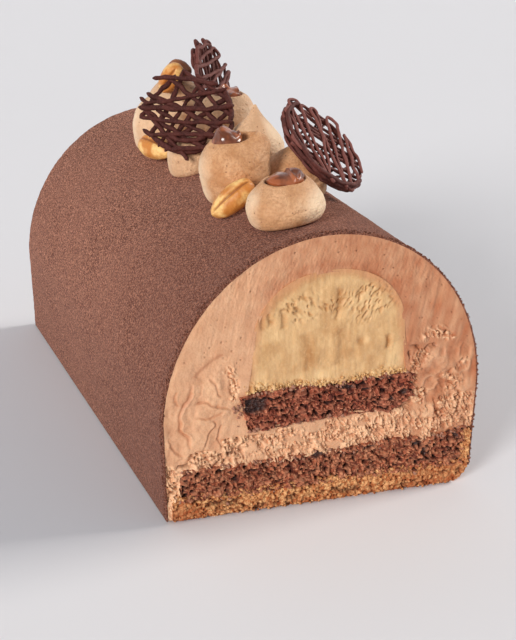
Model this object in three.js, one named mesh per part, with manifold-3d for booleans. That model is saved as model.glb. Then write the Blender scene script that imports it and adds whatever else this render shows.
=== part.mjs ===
// A sliced yule log cake without its dish.
//
// Frame: millimetres, +Z up.  X runs across the cut face, +Y along the log away
// from the cut, and the origin is the middle of the underside.
//
// From the outside in the log is a thin sprayed coat, a mousse, and inside the
// mousse a cream dome on a dark sponge strip.  Under the mousse a dark sponge
// lies on a baked biscuit base, whose right edge stands up as a low lip.
// On the ridge sit piped kisses, praline pools, peanuts and lattice discs.

import * as THREE from 'three';
import { mergeVertices } from 'three/addons/utils/BufferGeometryUtils.js';
import Module from 'manifold-3d';

const wasm = await Module();
wasm.setup();

// ---------------------------------------------------------------- dimensions
const WIDTH = 80;             // across the cut face
const LENGTH = 132.7;         // cut face to back end
const SIDE = 25;              // height of the straight flanks
const ARCH = 42.3;            // rise of the elliptical arch above the flanks
const TUCK = 1.7;             // how far the left flank draws in at its foot
const END_RADIUS = 2.6;       // softened edge round the back end
const COAT = 0.7;             // thickness of the sprayed coat
const GAP = 0.3;              // clearance between pieces that touch
const BASE_TOP = 6.0;         // top of the biscuit slab
const LIP_TOP = 14.2;         // top of the biscuit's standing lip
const SPONGE_TOP = 13.1;      // top of the lower sponge
const STRIP_TOP = 29.3;       // top of the sponge strip under the cream
const CREAM_TOP = 58.4;       // crown of the cream dome
const CORE_BACK = 54;         // where cream and strip stop, short of the back
const DISC_BAR = 1.5;         // width of a lattice strand
const DISC_LIFT = 0.45;       // how far the two strand layers sit off centre

const FRONT = -LENGTH / 2;
const BACK = LENGTH / 2;

// ---------------------------------------------------------- general helpers

/** Closed solid from a three.js geometry. */
function solidOf(geometry) {
  const bare = geometry.clone();
  bare.deleteAttribute('normal');
  bare.deleteAttribute('uv');
  const merged = mergeVertices(bare, 1e-5);
  return new wasm.Manifold(new wasm.Mesh({
    numProp: 3,
    vertProperties: new Float32Array(merged.attributes.position.array),
    triVerts: new Uint32Array(merged.index.array),
  }));
}

/** three.js geometry from a closed solid. */
function geometryOf(solid) {
  const mesh = solid.getMesh();
  const geometry = new THREE.BufferGeometry();
  geometry.setAttribute('position', new THREE.BufferAttribute(new Float32Array(mesh.vertProperties), 3));
  geometry.setIndex(new THREE.BufferAttribute(new Uint32Array(mesh.triVerts), 1));
  geometry.computeVertexNormals();
  return geometry;
}

/** Closed skin over rings of equal count, each end drawn together to a point. */
function skin(rings, startPoint, endPoint) {
  const count = rings[0].length;
  const points = [...rings.flat(), startPoint, endPoint];
  const start = rings.length * count;
  const end = start + 1;
  const faces = [];
  for (let k = 0; k < count; k += 1) {
    const next = (k + 1) % count;
    faces.push(start, next, k);
    const last = (rings.length - 1) * count;
    faces.push(end, last + k, last + next);
    for (let j = 0; j < rings.length - 1; j += 1) {
      const a = j * count;
      const b = a + count;
      faces.push(a + k, a + next, b + next);
      faces.push(a + k, b + next, b + k);
    }
  }
  const geometry = new THREE.BufferGeometry();
  geometry.setAttribute('position', new THREE.BufferAttribute(new Float32Array(points.flat()), 3));
  geometry.setIndex(faces);
  return geometry;
}

/** Middle of a ring of points. */
function middle(ring) {
  return [0, 1, 2].map((axis) => ring.reduce((sum, p) => sum + p[axis], 0) / ring.length);
}

/** Height of the log's skin above the table at a distance x from the ridge. */
function ridgeHeight(x) {
  return SIDE + ARCH * Math.sqrt(1 - (x / (WIDTH / 2)) ** 2);
}

/** Straight prism along Y from an outline of [x, z] points. */
function prism(outline, from, to) {
  const shape = new THREE.Shape(outline.map(([x, z]) => new THREE.Vector2(x, z)));
  const geometry = new THREE.ExtrudeGeometry(shape, { depth: to - from, bevelEnabled: false });
  geometry.rotateX(Math.PI / 2);
  geometry.translate(0, to, 0);
  return solidOf(geometry);
}

// -------------------------------------------------------------- log sections

/** Cross-section of the log, drawn in by a given amount, as [x, z] points. */
function logSection(inset, foot) {
  const half = WIDTH / 2 - inset;
  const rise = ARCH - inset;
  const outline = [[-half + TUCK * (1 - foot / SIDE), foot], [half, foot]];
  const steps = 34;
  for (let k = 0; k <= steps; k += 1) {
    const angle = (Math.PI * k) / steps;
    outline.push([half * Math.cos(angle), SIDE + rise * Math.sin(angle)]);
  }
  return outline;
}

/** Whole log body drawn in by `inset`, with the back edge rounded over. */
function logBody(inset, foot, front) {
  const radius = END_RADIUS - inset;
  const ring = (extra, y) => logSection(inset + extra, foot).map(([x, z]) => [x, y, z]);
  const rings = [ring(0, front)];
  for (let k = 0; k <= 3; k += 1) {
    const turn = (Math.PI / 2) * (k / 3);
    const drawn = radius * (1 - Math.cos(turn));
    rings.push(ring(drawn, BACK - inset - radius * (1 - Math.sin(turn))));
  }
  return solidOf(skin(rings.reverse(), middle(rings[0]), middle(rings[rings.length - 1])));
}

const inner = COAT + GAP;

const baseOutline = [
  [-35.6, 0], [35.0, 0], [38.3, 1.7], [39.0, 4.5], [39.0, LIP_TOP - 0.8], [38.6, LIP_TOP],
  [37.7, LIP_TOP - 0.3], [37.3, BASE_TOP], [-35.4, BASE_TOP], [-36.0, 4.9], [-36.1, 1.2],
];
const baseClearance = [
  [-36.4, -2], [45, -2], [45, LIP_TOP + GAP], [37.0, LIP_TOP + GAP], [37.0, BASE_TOP + GAP],
  [-36.4, BASE_TOP + GAP],
];
const spongeOutline = [
  [-34.6, BASE_TOP + GAP], [36.8, BASE_TOP + GAP], [36.8, SPONGE_TOP - 0.6],
  [36.0, SPONGE_TOP + 0.1], [-33.9, SPONGE_TOP], [-34.6, SPONGE_TOP - 0.7],
];
const spongeClearance = [
  [-34.9, 5], [38, 5], [38, SPONGE_TOP + 0.4], [-34.0, SPONGE_TOP + GAP], [-34.9, SPONGE_TOP - 0.6],
];
const stripOutline = [
  [-20.7, 21.8], [-19.6, 20.8], [-8, 21.6], [7, 22.2], [19.6, 23.0], [21.4, 24.2],
  [21.5, 28.5], [20.8, STRIP_TOP], [-20.0, STRIP_TOP], [-20.7, 28.5],
];
const stripClearance = [
  [-21.0, 21.6], [-19.7, 20.4], [-8, 21.2], [7, 21.8], [19.7, 22.6], [21.7, 24.0],
  [21.8, 28.7], [21.0, 31], [-20.5, 31], [-21.0, 28.7],
];

/** Cream dome outline, grown by a given amount. */
function creamOutline(grow) {
  const foot = STRIP_TOP + GAP;
  const shoulder = 42;
  const half = 18.7 + grow;
  const outline = [[-20.0 - grow, foot - grow], [20.7 + grow, foot - grow]];
  const steps = 22;
  for (let k = 0; k <= steps; k += 1) {
    const angle = (Math.PI * k) / steps;
    const across = Math.sign(Math.cos(angle)) * Math.abs(Math.cos(angle)) ** 0.92;
    const up = Math.sin(angle) ** 0.92;
    outline.push([0.2 + half * across, shoulder + (CREAM_TOP - shoulder + grow) * up]);
  }
  return outline;
}

const filling = logBody(inner, -2, FRONT);
const biscuit = prism(baseOutline, FRONT, BACK - inner - 0.4);
const lowerSponge = prism(spongeOutline, FRONT, BACK - inner - 0.4);
const strip = prism(stripOutline, FRONT, CORE_BACK);
const cream = prism(creamOutline(0), FRONT, CORE_BACK);

const mousse = logBody(inner, 0.8, FRONT)
  .subtract(prism(baseClearance, FRONT - 5, BACK - inner - 0.1))
  .subtract(prism(spongeClearance, FRONT - 5, BACK - inner - 0.1))
  .subtract(prism(stripClearance, FRONT - 5, CORE_BACK + GAP))
  .subtract(prism(creamOutline(GAP), FRONT - 5, CORE_BACK + GAP));

// On the right the coat stops at the biscuit's bevelled corner.
const bareCorner = prism([[30, -2], [45, -2], [45, 4.2], [30, 4.2]], FRONT - 5, BACK - 6);
const coat = logBody(0, 0.5, FRONT).subtract(logBody(COAT, -3, FRONT - 5)).subtract(bareCorner);

// ------------------------------------------------------------------ toppings

const logRoom = logBody(-GAP, -3, FRONT - 5);

/** Outward direction used for standing things on the ridge at x. */
function standing(x) {
  const normal = new THREE.Vector3(x / (WIDTH / 2) ** 2, 0, (ridgeHeight(x) - SIDE) / ARCH ** 2);
  return normal.normalize().add(new THREE.Vector3(0, 0, 1)).normalize();
}

/** Rigid move that takes the local Z axis to `axis` and the origin to `origin`. */
function placing(origin, axis, spin = 0) {
  const turn = new THREE.Quaternion().setFromUnitVectors(new THREE.Vector3(0, 0, 1), axis.clone().normalize());
  const roll = new THREE.Quaternion().setFromAxisAngle(new THREE.Vector3(0, 0, 1), spin);
  return new THREE.Matrix4().compose(origin, turn.multiply(roll), new THREE.Vector3(1, 1, 1));
}

/** Closed body of revolution about local Z from [radius, height] points. */
function turned(profile, bottom, top, segments) {
  const rings = profile.map(([radius, height]) => {
    const ring = [];
    for (let k = 0; k < segments; k += 1) {
      const angle = (2 * Math.PI * k) / segments;
      ring.push([radius * Math.cos(angle), radius * Math.sin(angle), height]);
    }
    return ring;
  });
  return skin(rings, [0, 0, bottom], [0, 0, top]);
}

const squat = [[0.7, 0], [0.93, 0.12], [1, 0.3], [0.99, 0.45], [0.9, 0.64], [0.74, 0.83], [0.58, 0.97]];
const round = [[0.62, 0], [0.88, 0.14], [1, 0.36], [1, 0.52], [0.92, 0.7], [0.76, 0.87], [0.58, 0.98]];
const drop = [
  [0.7, 0], [0.93, 0.11], [1, 0.26], [0.95, 0.42], [0.8, 0.58], [0.58, 0.73], [0.34, 0.86], [0.13, 0.96],
];
const cone = [
  [0.88, 0], [1, 0.1], [0.97, 0.24], [0.85, 0.44], [0.67, 0.62], [0.45, 0.78], [0.24, 0.91], [0.1, 0.97],
];

/** One piped kiss standing on the ridge; `cup` hollows its top for praline. */
function kiss({ x, y, radius, height, form, cup }) {
  const profile = form.map(([r, h]) => [r * radius, h * height]);
  const foot = [profile[0][0] * 0.97, -1.8];
  let top = height;
  if (cup) {
    profile.push([0.47 * radius, height], [0.38 * radius, height - 0.9]);
    top = height - 1.8;
  }
  const origin = new THREE.Vector3(x, y, ridgeHeight(x));
  const geometry = turned([foot, ...profile], -1.8, top, 20);
  geometry.applyMatrix4(placing(origin, standing(x)));
  return solidOf(geometry).subtract(logRoom);
}

/** Pool of praline that fills a kiss's cup and swells above its rim. */
function pool({ x, y, radius, height, swell }) {
  const profile = [
    [0.38 * radius - 0.4, height - 0.55],
    [0.47 * radius - 0.4, height + 0.15],
    [0.4 * radius - 0.2, height + 0.45 * swell],
    [0.2 * radius, height + 0.85 * swell],
  ];
  const origin = new THREE.Vector3(x, y, ridgeHeight(x));
  const geometry = turned(profile, height - 1.3, height + swell, 16);
  geometry.applyMatrix4(placing(origin, standing(x)));
  return solidOf(geometry);
}

/** Nut kernel, blunt at one end and pointed at the other. */
function kernel({ at, along, half, radius, point = 0.14 }) {
  const profile = [];
  for (let k = 1; k <= 7; k += 1) {
    const t = -1 + k / 4;
    profile.push([radius * Math.sqrt(1 - t * t) * (1 - point * t), half * t]);
  }
  const geometry = turned(profile, -half, half, 12);
  geometry.applyMatrix4(placing(new THREE.Vector3(...at), new THREE.Vector3(...along)));
  return solidOf(geometry);
}

/** Chocolate disc: a rim with two layers of crossing strands. */
function lattice({ at, facing, radius, spin }) {
  const rim = radius - 0.95;
  let disc = solidOf(new THREE.TorusGeometry(rim, 0.95, 5, 26));
  const layers = [[0, DISC_LIFT], [Math.PI / 3, -DISC_LIFT]];
  for (const [angle, lift] of layers) {
    for (let k = -2; k <= 2; k += 1) {
      const off = (k * rim) / 3;
      const length = 2 * Math.sqrt(rim ** 2 - off ** 2);
      const bar = new THREE.BoxGeometry(length, DISC_BAR, DISC_BAR);
      bar.translate(0, off, lift);
      bar.rotateZ(angle);
      disc = disc.add(solidOf(bar));
    }
  }
  const geometry = geometryOf(disc);
  geometry.applyMatrix4(placing(new THREE.Vector3(...at), new THREE.Vector3(...facing), spin));
  return solidOf(geometry);
}

const kisses = {
  kiss_front: { x: -6.2, y: -52, radius: 9.3, height: 10.2, form: squat, cup: true, swell: 0.9 },
  kiss_round: { x: -9.5, y: -29, radius: 8.7, height: 13.8, form: round, cup: true, swell: 2.4 },
  kiss_peak: { x: 3.9, y: -5, radius: 8.6, height: 15, form: drop },
  kiss_leaned: { x: 6.5, y: -26, radius: 8.4, height: 10.8, form: cone },
  kiss_low: { x: -10.4, y: -0.5, radius: 7.1, height: 9, form: squat },
  kiss_left: { x: -9.8, y: 28, radius: 8.2, height: 12.5, form: squat },
  kiss_tall: { x: 3, y: 15.8, radius: 9, height: 13.6, form: round, cup: true, swell: 1.6 },
  kiss_rear: { x: -1, y: 44.4, radius: 8.4, height: 12.4, form: squat },
};

const nuts = {
  peanut_front: { at: [-14.8, -40.2, 68.9], along: [0.71, -0.19, 0.68], half: 6.6, radius: 3.3 },
  peanut_low: { at: [-16.8, 13.5, 67.7], along: [-0.35, 0.9, 0.05], half: 6.4, radius: 3.3 },
  peanut_high: { at: [-5.6, 35.6, 81.2], along: [0.2, -0.6, 0.75], half: 5.8, radius: 3.1 },
  nut_piece: { at: [-1.2, 41.2, 82.5], along: [0.8, 0, -0.4], half: 3.6, radius: 2.7, point: 0 },
};

const discs = {
  lattice_left: { at: [-13.2, -0.7, 80.3], facing: [-0.263, -0.695, 0.669], radius: 13.1, spin: 0.2 },
  lattice_upright: { at: [7.6, 37.3, 78.9], facing: [0.75, -0.567, 0.348], radius: 13.3, spin: 1.2 },
  lattice_right: { at: [14.1, -25.4, 76.3], facing: [0.504, -0.479, 0.719], radius: 13.8, spin: 0.5 },
};

// -------------------------------------------------------------------- pieces

const group = new THREE.Group();
group.name = 'yule_log_cake';

function addPiece(name, solid, color, roughness) {
  const material = new THREE.MeshStandardMaterial({ color, roughness, metalness: 0 });
  material.name = name;
  const mesh = new THREE.Mesh(geometryOf(solid), material);
  mesh.name = name;
  group.add(mesh);
}

addPiece('biscuit_base', biscuit.intersect(filling), '#b0723f', 0.85);
addPiece('sponge_lower', lowerSponge.intersect(filling), '#7a4430', 0.9);
addPiece('mousse', mousse, '#dca27c', 0.6);
addPiece('sponge_strip', strip, '#5f2c1c', 0.9);
addPiece('cream_core', cream, '#daad77', 0.55);
addPiece('velvet_coat', coat, '#94604d', 0.95);

for (const [name, spec] of Object.entries(kisses)) {
  addPiece(name, kiss(spec), '#d6a478', 0.7);
  if (spec.cup) {
    addPiece(name.replace('kiss', 'praline'), pool(spec), '#9f5226', 0.25);
  }
}
for (const [name, spec] of Object.entries(nuts)) {
  addPiece(name, kernel(spec), name === 'nut_piece' ? '#8f5a3c' : '#e2a765', 0.5);
}
for (const [name, spec] of Object.entries(discs)) {
  addPiece(name, lattice(spec), '#5e342c', 0.45);
}

export default group;
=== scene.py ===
# %% [markdown]
# # A sliced yule log cake
#
# The log is a mousse body under a thin velvet coat.  The cut shows what is
# inside it: a dome of cream on a dark sponge strip, and at the foot a dark
# sponge on a baked biscuit base.  On the ridge stand piped kisses, praline,
# peanuts and lattice discs of chocolate.
#
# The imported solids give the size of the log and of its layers, and where each
# topping sits; the lines of the cut are written out here.  Each solid is
# replaced by a surface worked out with numpy, so that crumb, knife drag and
# grain are real shape.  Lengths are in millimetres until a mesh is made,
# because that is how a pastry cook would measure them.

# %% Load the frame
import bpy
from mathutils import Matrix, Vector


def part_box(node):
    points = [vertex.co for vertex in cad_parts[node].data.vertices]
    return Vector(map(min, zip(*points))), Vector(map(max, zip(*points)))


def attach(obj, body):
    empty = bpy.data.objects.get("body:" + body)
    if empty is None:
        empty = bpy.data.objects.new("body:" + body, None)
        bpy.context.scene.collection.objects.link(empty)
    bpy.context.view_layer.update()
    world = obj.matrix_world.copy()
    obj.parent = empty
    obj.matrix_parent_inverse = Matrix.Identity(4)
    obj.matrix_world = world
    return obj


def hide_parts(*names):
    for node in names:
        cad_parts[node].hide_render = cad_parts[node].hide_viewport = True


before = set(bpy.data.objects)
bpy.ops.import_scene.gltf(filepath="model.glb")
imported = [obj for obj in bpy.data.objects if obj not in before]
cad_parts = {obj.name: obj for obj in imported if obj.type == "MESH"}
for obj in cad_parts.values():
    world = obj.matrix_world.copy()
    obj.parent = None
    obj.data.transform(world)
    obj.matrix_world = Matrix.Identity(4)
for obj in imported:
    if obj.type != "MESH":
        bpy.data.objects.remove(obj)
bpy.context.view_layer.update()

import math

import bmesh
import bpy
import numpy as np
from mathutils import Matrix

MM = 0.001


def box_mm(node):
    """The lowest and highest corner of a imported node, in millimetres."""
    low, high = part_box(node)
    return np.array(low) / MM, np.array(high) / MM


coat_low, coat_high = box_mm("velvet_coat")
FRONT, BACK = coat_low[1], coat_high[1]
HALF = (coat_high[0] - coat_low[0]) / 2
CROWN = coat_high[2]
SIDE = 25.0              # height where the flanks end and the arch starts
ARCH = CROWN - SIDE
TUCK = 1.7               # how far the left flank draws in at its foot
print(f"log {2 * HALF:.1f} wide, {CROWN:.1f} high, {BACK - FRONT:.1f} long")

# %% [markdown]
# ## Camera
#
# The camera stands to the left of the cut and looks down along the log.
# Its turn is written out as three directions: where it looks, what is to its
# right and what is above it, with a small roll between the last two.

# %% Camera
def add(name, data):
    """A new object in the scene."""
    made = bpy.data.objects.new(name, data)
    bpy.context.scene.collection.objects.link(made)
    return made


def aim(thing, across, over, away, place):
    """Puts a camera or a lamp at `place`, looking against `away`."""
    turn = np.stack([across, over, away, place], -1)
    thing.matrix_world = Matrix([*turn.tolist(), [0, 0, 0, 1]])


YAW, PITCH, ROLL = math.radians(20.743), math.radians(20.619), 0.0341
looks = np.array([math.sin(YAW) * math.cos(PITCH), math.cos(YAW) * math.cos(PITCH), -math.sin(PITCH)])
level = np.array([math.cos(YAW), -math.sin(YAW), 0.0])
above = np.cross(level, looks)
right = level * math.cos(ROLL) + above * math.sin(ROLL)
upward = above * math.cos(ROLL) - level * math.sin(ROLL)

lens = bpy.data.cameras.new("camera")
lens.lens, lens.sensor_width = 84.03, 36.0
lens.shift_x, lens.shift_y = 0.0537, -0.0141
lens.clip_start, lens.clip_end = 0.01, 20.0
camera = add("camera", lens)
aim(camera, right, upward, -looks, (-0.13567, -0.35559, 0.1677))
bpy.context.scene.camera = camera
print("camera", [round(v, 3) for v in camera.matrix_world.translation])

# %% [markdown]
# ## Noise for food
#
# Nothing on a cake repeats, so every surface needs random but smooth heights.
# Two helpers do most of it.  One blends random values on a grid, which gives
# soft waves and, when it is stretched, knife drag.  The other scatters one
# seed per cell and measures the distance to the nearest, which gives crumbs,
# pits and pores.

# %% Smooth noise
def soft(points, cell, seed):
    """Smooth random height from -1 to 1 at (n, 3) points: random values on a
    cubic grid of pitch `cell`, one number or three, blended by a smooth step."""
    table = np.random.default_rng(seed).uniform(-1, 1, (32, 32, 32))
    scaled = points / np.asarray(cell, float) + 517.31
    whole = np.floor(scaled).astype(int)
    part = scaled - whole
    part = part * part * (3 - 2 * part)
    total = 0.0
    for corner in range(8):
        side = np.array([corner >> 2 & 1, corner >> 1 & 1, corner & 1])
        weight = np.prod(np.where(side, part, 1 - part), axis=-1)
        i, j, k = np.moveaxis((whole + side) % 32, -1, 0)
        total = total + weight * table[i, j, k]
    return total


def on_cut(x, z):
    """Two numbers per point as (n, 3) points, for the noises to read: on the
    cut they are x and z."""
    return np.stack([x, z, 0 * x], -1)


def layered(points, cell, seed, octaves=3, fade=0.5):
    """Sum of smooth noises, each half the pitch and `fade` the height of the last."""
    cell = np.asarray(cell, float)
    heights = [fade ** k * soft(points, cell / 2 ** k, seed + k) for k in range(octaves)]
    return sum(heights) / sum(fade ** k for k in range(octaves))


def crests(points, cell, seed, sharp):
    """Sharp ridges where a smooth noise crosses zero: 1 on the ridge, 0 beside it."""
    return 1 - np.clip(np.abs(soft(points, cell, seed)) * sharp, 0, 1)


# %% Scattered seeds
def seeds(a, b, cell, seed, stretch=1.0):
    """One seed in each cell of a plane.  Gives, at every (a, b), the distance
    to the nearest seed in cells, and that seed's own random number."""
    p, q = a / cell + 311.7, b / (cell * stretch) + 157.3
    rng = np.random.default_rng(seed)
    jitter = rng.uniform(0.08, 0.92, (2, 128, 128))
    number = rng.uniform(0, 1, (128, 128))
    i, j = np.floor(p).astype(int), np.floor(q).astype(int)
    nearest, own = np.full(p.shape, 9.0), np.zeros(p.shape)
    for di in (-1, 0, 1):
        for dj in (-1, 0, 1):
            m, n = (i + di) % 128, (j + dj) % 128
            far = np.hypot(i + di + jitter[0, m, n] - p, j + dj + jitter[1, m, n] - q)
            own = np.where(far < nearest, number[m, n], own)
            nearest = np.minimum(nearest, far)
    return nearest, own


def step(low, high, value):
    """Smooth step from 0 at `low` to 1 at `high`."""
    t = np.clip((value - low) / (high - low), 0, 1)
    return t * t * (3 - 2 * t)


def blob(a, b, at, size):
    """Soft round patch: 1 at its middle and about 0 at 1.5 times its size."""
    return np.exp(-(((a - at[0]) / size[0]) ** 2 + ((b - at[1]) / size[1]) ** 2))


# %% Folds and cracks
def smooth_line(points, count):
    """A Catmull-Rom curve: each stretch bends towards its neighbours."""
    p = np.asarray(points, float)
    p = np.concatenate([[2 * p[0] - p[1]], p, [2 * p[-1] - p[-2]]])
    s = np.linspace(0, len(p) - 3 - 1e-9, count)
    i = s.astype(int)
    u = (s - i)[:, None]
    a, b, c, d = p[i], p[i + 1], p[i + 2], p[i + 3]
    bend, twist = 2 * a - 5 * b + 4 * c - d, 3 * b - a - 3 * c + d
    return 0.5 * (2 * b + (c - a) * u + bend * u ** 2 + twist * u ** 3)


def from_line(x, z, line):
    """For each point: distance to a smooth line, positive on its right-hand
    side, and how far along the line it is, from 0 to 1.  Points beyond the
    line's reach are left far away."""
    parts, reach, far_off = 40, 6.0, 99.0
    path = smooth_line(line, parts + 1)
    away, along = np.full(x.shape, far_off), np.zeros(x.shape)
    low, high = path.min(0) - reach, path.max(0) + reach
    close = (x > low[0]) & (x < high[0]) & (z > low[1]) & (z < high[1])
    px, pz = x[close][:, None], z[close][:, None]
    a, b = path[:-1], path[1:]
    run = b - a
    t = np.clip(((px - a[:, 0]) * run[:, 0] + (pz - a[:, 1]) * run[:, 1]) / (run ** 2).sum(1), 0, 1)
    dx, dz = px - a[:, 0] - t * run[:, 0], pz - a[:, 1] - t * run[:, 1]
    far = np.hypot(dx, dz)
    k = far.argmin(1)
    pick = np.arange(len(k))
    side = np.sign(dx[pick, k] * run[k, 1] - dz[pick, k] * run[k, 0])
    away[close] = far[pick, k] * side
    along[close] = (k + t[pick, k]) / parts
    return away, along


def height_of(line, x):
    """Height at x of a line given by its (x, z) points, straight between them."""
    return np.interp(x, *np.transpose(line))


def fold(x, z, line, width, depth, lift):
    """A groove along a line, with a rounded lobe that stands up on its right
    and sinks back.  Gives the height, and the groove as a mask that the
    callers paint darker as painted shade."""
    away, along = from_line(x, z, line)
    ends = step(0, 0.15, along) * step(1, 0.85, along)
    groove = np.exp(-(away / width) ** 2) * ends
    lobe = np.exp(-(np.maximum(away - width, 0) / 2.6) ** 2) * step(-0.3 * width, 1.2 * width, away)
    ridge_line = np.exp(-((away - 1.1 * width) / (0.7 * width)) ** 2)
    return (lift * (0.6 * lobe + 0.5 * ridge_line)) * ends - depth * groove, groove


# %% [markdown]
# ## From grids to meshes
#
# A grid of points is a surface once its neighbours are joined by quads.  A
# cut face becomes a solid when its open edges are carried straight back into
# the cake and closed there, which is what a knife leaves.

# %% Mesh helpers
def grid_quads(rows, columns, start=0, closed=False):
    """Quads that join a rows x columns grid of points; closed joins the last
    column to the first."""
    i, j = np.meshgrid(np.arange(rows - 1), np.arange(columns if closed else columns - 1), indexing="ij")
    a = i * columns + j
    b = i * columns + (j + 1) % columns
    return np.stack([a, b, b + columns, a + columns], -1).reshape(-1, 4) + start


def join_grids(*grids):
    """The points and the quads of several grids as one list each."""
    sizes = [grid.shape[0] * grid.shape[1] for grid in grids]
    starts = np.cumsum([0, *sizes[:-1]])
    quads = [grid_quads(*grid.shape[:2], start) for grid, start in zip(grids, starts)]
    return np.concatenate([grid.reshape(-1, grid.shape[-1]) for grid in grids]), np.concatenate(quads)


def mesh_of(name, points, quads, caps=()):
    """A mesh from points in millimetres, an (n, k) array of faces with k
    corners each, and any larger faces as arrays of point numbers."""
    mesh = bpy.data.meshes.new(name)
    corners = np.concatenate([np.asarray(quads).ravel(), *[np.asarray(c) for c in caps]]).astype(np.int32)
    counts = np.concatenate([np.full(len(quads), np.shape(quads)[1]), [len(c) for c in caps]]).astype(np.int32)
    starts = np.concatenate([[0], np.cumsum(counts)[:-1]]).astype(np.int32)
    mesh.vertices.add(len(points))
    mesh.vertices.foreach_set("co", (np.asarray(points) * MM).astype(np.float32).ravel())
    mesh.loops.add(len(corners))
    mesh.loops.foreach_set("vertex_index", corners)
    mesh.polygons.add(len(counts))
    mesh.polygons.foreach_set("loop_start", starts)
    mesh.update(calc_edges=True)
    mesh.validate()
    return mesh


def note(mesh, name, values):
    """Keeps one number per point on the mesh, for the finish to read."""
    mesh.attributes.new(name, "FLOAT", "POINT").data.foreach_set("value", np.asarray(values, np.float32))


def points_of(mesh):
    """The mesh's points in millimetres, as an (n, 3) array."""
    flat = np.empty(len(mesh.vertices) * 3, np.float32)
    mesh.vertices.foreach_get("co", flat)
    return flat.reshape(-1, 3).astype(float) / MM


WELD = 0.004 * MM        # points closer than this are one point


def face_outwards(bm, mesh):
    """Turns all faces outwards and ends the work on a bmesh."""
    bmesh.ops.recalc_face_normals(bm, faces=bm.faces)
    bm.to_mesh(mesh)
    bm.free()
    return mesh


def tidy(mesh):
    """Welds points that coincide and turns all faces outwards."""
    bm = bmesh.new()
    bm.from_mesh(mesh)
    bmesh.ops.remove_doubles(bm, verts=bm.verts, dist=WELD)
    bmesh.ops.dissolve_degenerate(bm, edges=bm.edges, dist=1e-7)
    return face_outwards(bm, mesh)


def give_depth(mesh, depth_at):
    """Makes a cut face solid.  Every open edge goes straight back to the y
    that depth_at(x, z) gives, and each loop there is closed by one face."""
    bm = bmesh.new()
    bm.from_mesh(mesh)
    bmesh.ops.remove_doubles(bm, verts=bm.verts, dist=WELD)
    rim = [edge for edge in bm.edges if edge.is_boundary]
    made = bmesh.ops.extrude_edge_only(bm, edges=rim)["geom"]
    for edge in rim:
        edge.smooth = False
    back = {v for v in made if isinstance(v, bmesh.types.BMVert)}
    ends = [e for e in made if isinstance(e, bmesh.types.BMEdge) and back.issuperset(e.verts)]
    bmesh.ops.holes_fill(bm, edges=ends, sides=0)
    bm.verts.index_update()
    numbers = np.array([v.index for v in back])
    bm.to_mesh(mesh)
    points = points_of(mesh)
    points[numbers, 1] = depth_at(points[numbers, 0], points[numbers, 2])
    mesh.vertices.foreach_set("co", (points * MM).astype(np.float32).ravel())
    bm.clear()
    bm.from_mesh(mesh)
    return face_outwards(bm, mesh)


def piece(name, mesh, finish, nodes):
    """Puts a mesh in the scene as one piece of the cake."""
    made = add(name, mesh)
    mesh.materials.append(finish)
    mesh.polygons.foreach_set("use_smooth", np.ones(len(mesh.polygons), bool))
    mesh.update()
    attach(made, "root")
    if nodes:
        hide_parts(*nodes)
    print(f"{name}: {len(mesh.loops) - 2 * len(mesh.polygons)} triangles")


# %% [markdown]
# ## Finishes as sums
#
# A shader is a tree of nodes, but it reads best as arithmetic.  `Wire` wraps
# a socket, so `grain * 0.4 + 0.3` adds the Math nodes by itself, and every
# other node comes from its one method `node`.

# %% A socket that does sums
class Wire:
    """A shader value.  Arithmetic on it adds Math nodes to its tree."""

    def __init__(self, tree, socket=None):
        self.tree, self.socket = tree, socket

    def node(self, kind, settings=None, inputs=None, output=0):
        """Adds a node: its settings first, then a value or link per socket."""
        made = self.tree.nodes.new("ShaderNode" + kind)
        for name, value in (settings or {}).items():
            setattr(made, name, value)
        for key, value in (inputs or {}).items():
            if isinstance(value, Wire):
                self.tree.links.new(value.socket, made.inputs[key])
            else:
                made.inputs[key].default_value = value
        return Wire(self.tree, made.outputs[output] if len(made.outputs) else None)

    def sum(self, operation, first, second):
        return self.node("Math", {"operation": operation}, {0: first, 1: second})

    def __add__(self, other):
        return self.sum("ADD", self, other)

    def __rsub__(self, other):
        return self.sum("SUBTRACT", other, self)

    def __mul__(self, other):
        return self.sum("MULTIPLY", self, other)

    def between(self, low, high):
        """0 below `low`, 1 above `high`, smooth in between."""
        return self.node("MapRange", {"interpolation_type": "SMOOTHSTEP"}, {0: self, 1: low, 2: high})

    def paint(self, base, over):
        """Colour `base` where this value is 0 and `over` where it is 1."""
        return self.node("Mix", {"data_type": "RGBA"}, {0: self, 6: base, 7: over}, 2)


def shade(red, green, blue):
    """A colour as a colour picker shows it, 0 to 255, made linear for the shader."""
    picked = np.array([red, green, blue]) / 255
    linear = np.where(picked <= 0.04045, picked / 12.92, ((picked + 0.055) / 1.055) ** 2.4)
    return (*[float(v) for v in linear], 1.0)


# %% Starting and ending a finish
def start_finish(name):
    """A new material and the wire from which its nodes are made."""
    made = bpy.data.materials.new(name)
    made.use_nodes = True
    made.node_tree.nodes.clear()
    return made, Wire(made.node_tree)


def speckle(wire, size, detail=2.0, roughness=0.5, stretch=(1, 1, 1), w=0.0):
    """Noise of one grain size in millimetres, read on the piece's own place."""
    place = wire.node("TexCoord", output="Object")
    moved = {"Vector": place, "Scale": [1 / s for s in stretch], "Location": (w, w, w)}
    grain = {"Vector": wire.node("Mapping", {}, moved), "Scale": 1 / (size * MM)}
    return wire.node("TexNoise", {}, grain | {"Detail": detail, "Roughness": roughness})


def dots(wire, size, chance, radius=0.25):
    """Round dots in a share `chance` of cells `size` millimetres wide."""
    place = wire.node("TexCoord", output="Object")
    scaled = {"Vector": place, "Scale": 1 / (size * MM)}
    distance = wire.node("TexVoronoi", {}, scaled)
    lot = wire.node("SeparateColor", {}, {0: wire.node("TexVoronoi", {}, scaled, 1)})
    return (1 - distance.between(radius * 0.5, radius)) * lot.sum("LESS_THAN", lot, chance)


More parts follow.
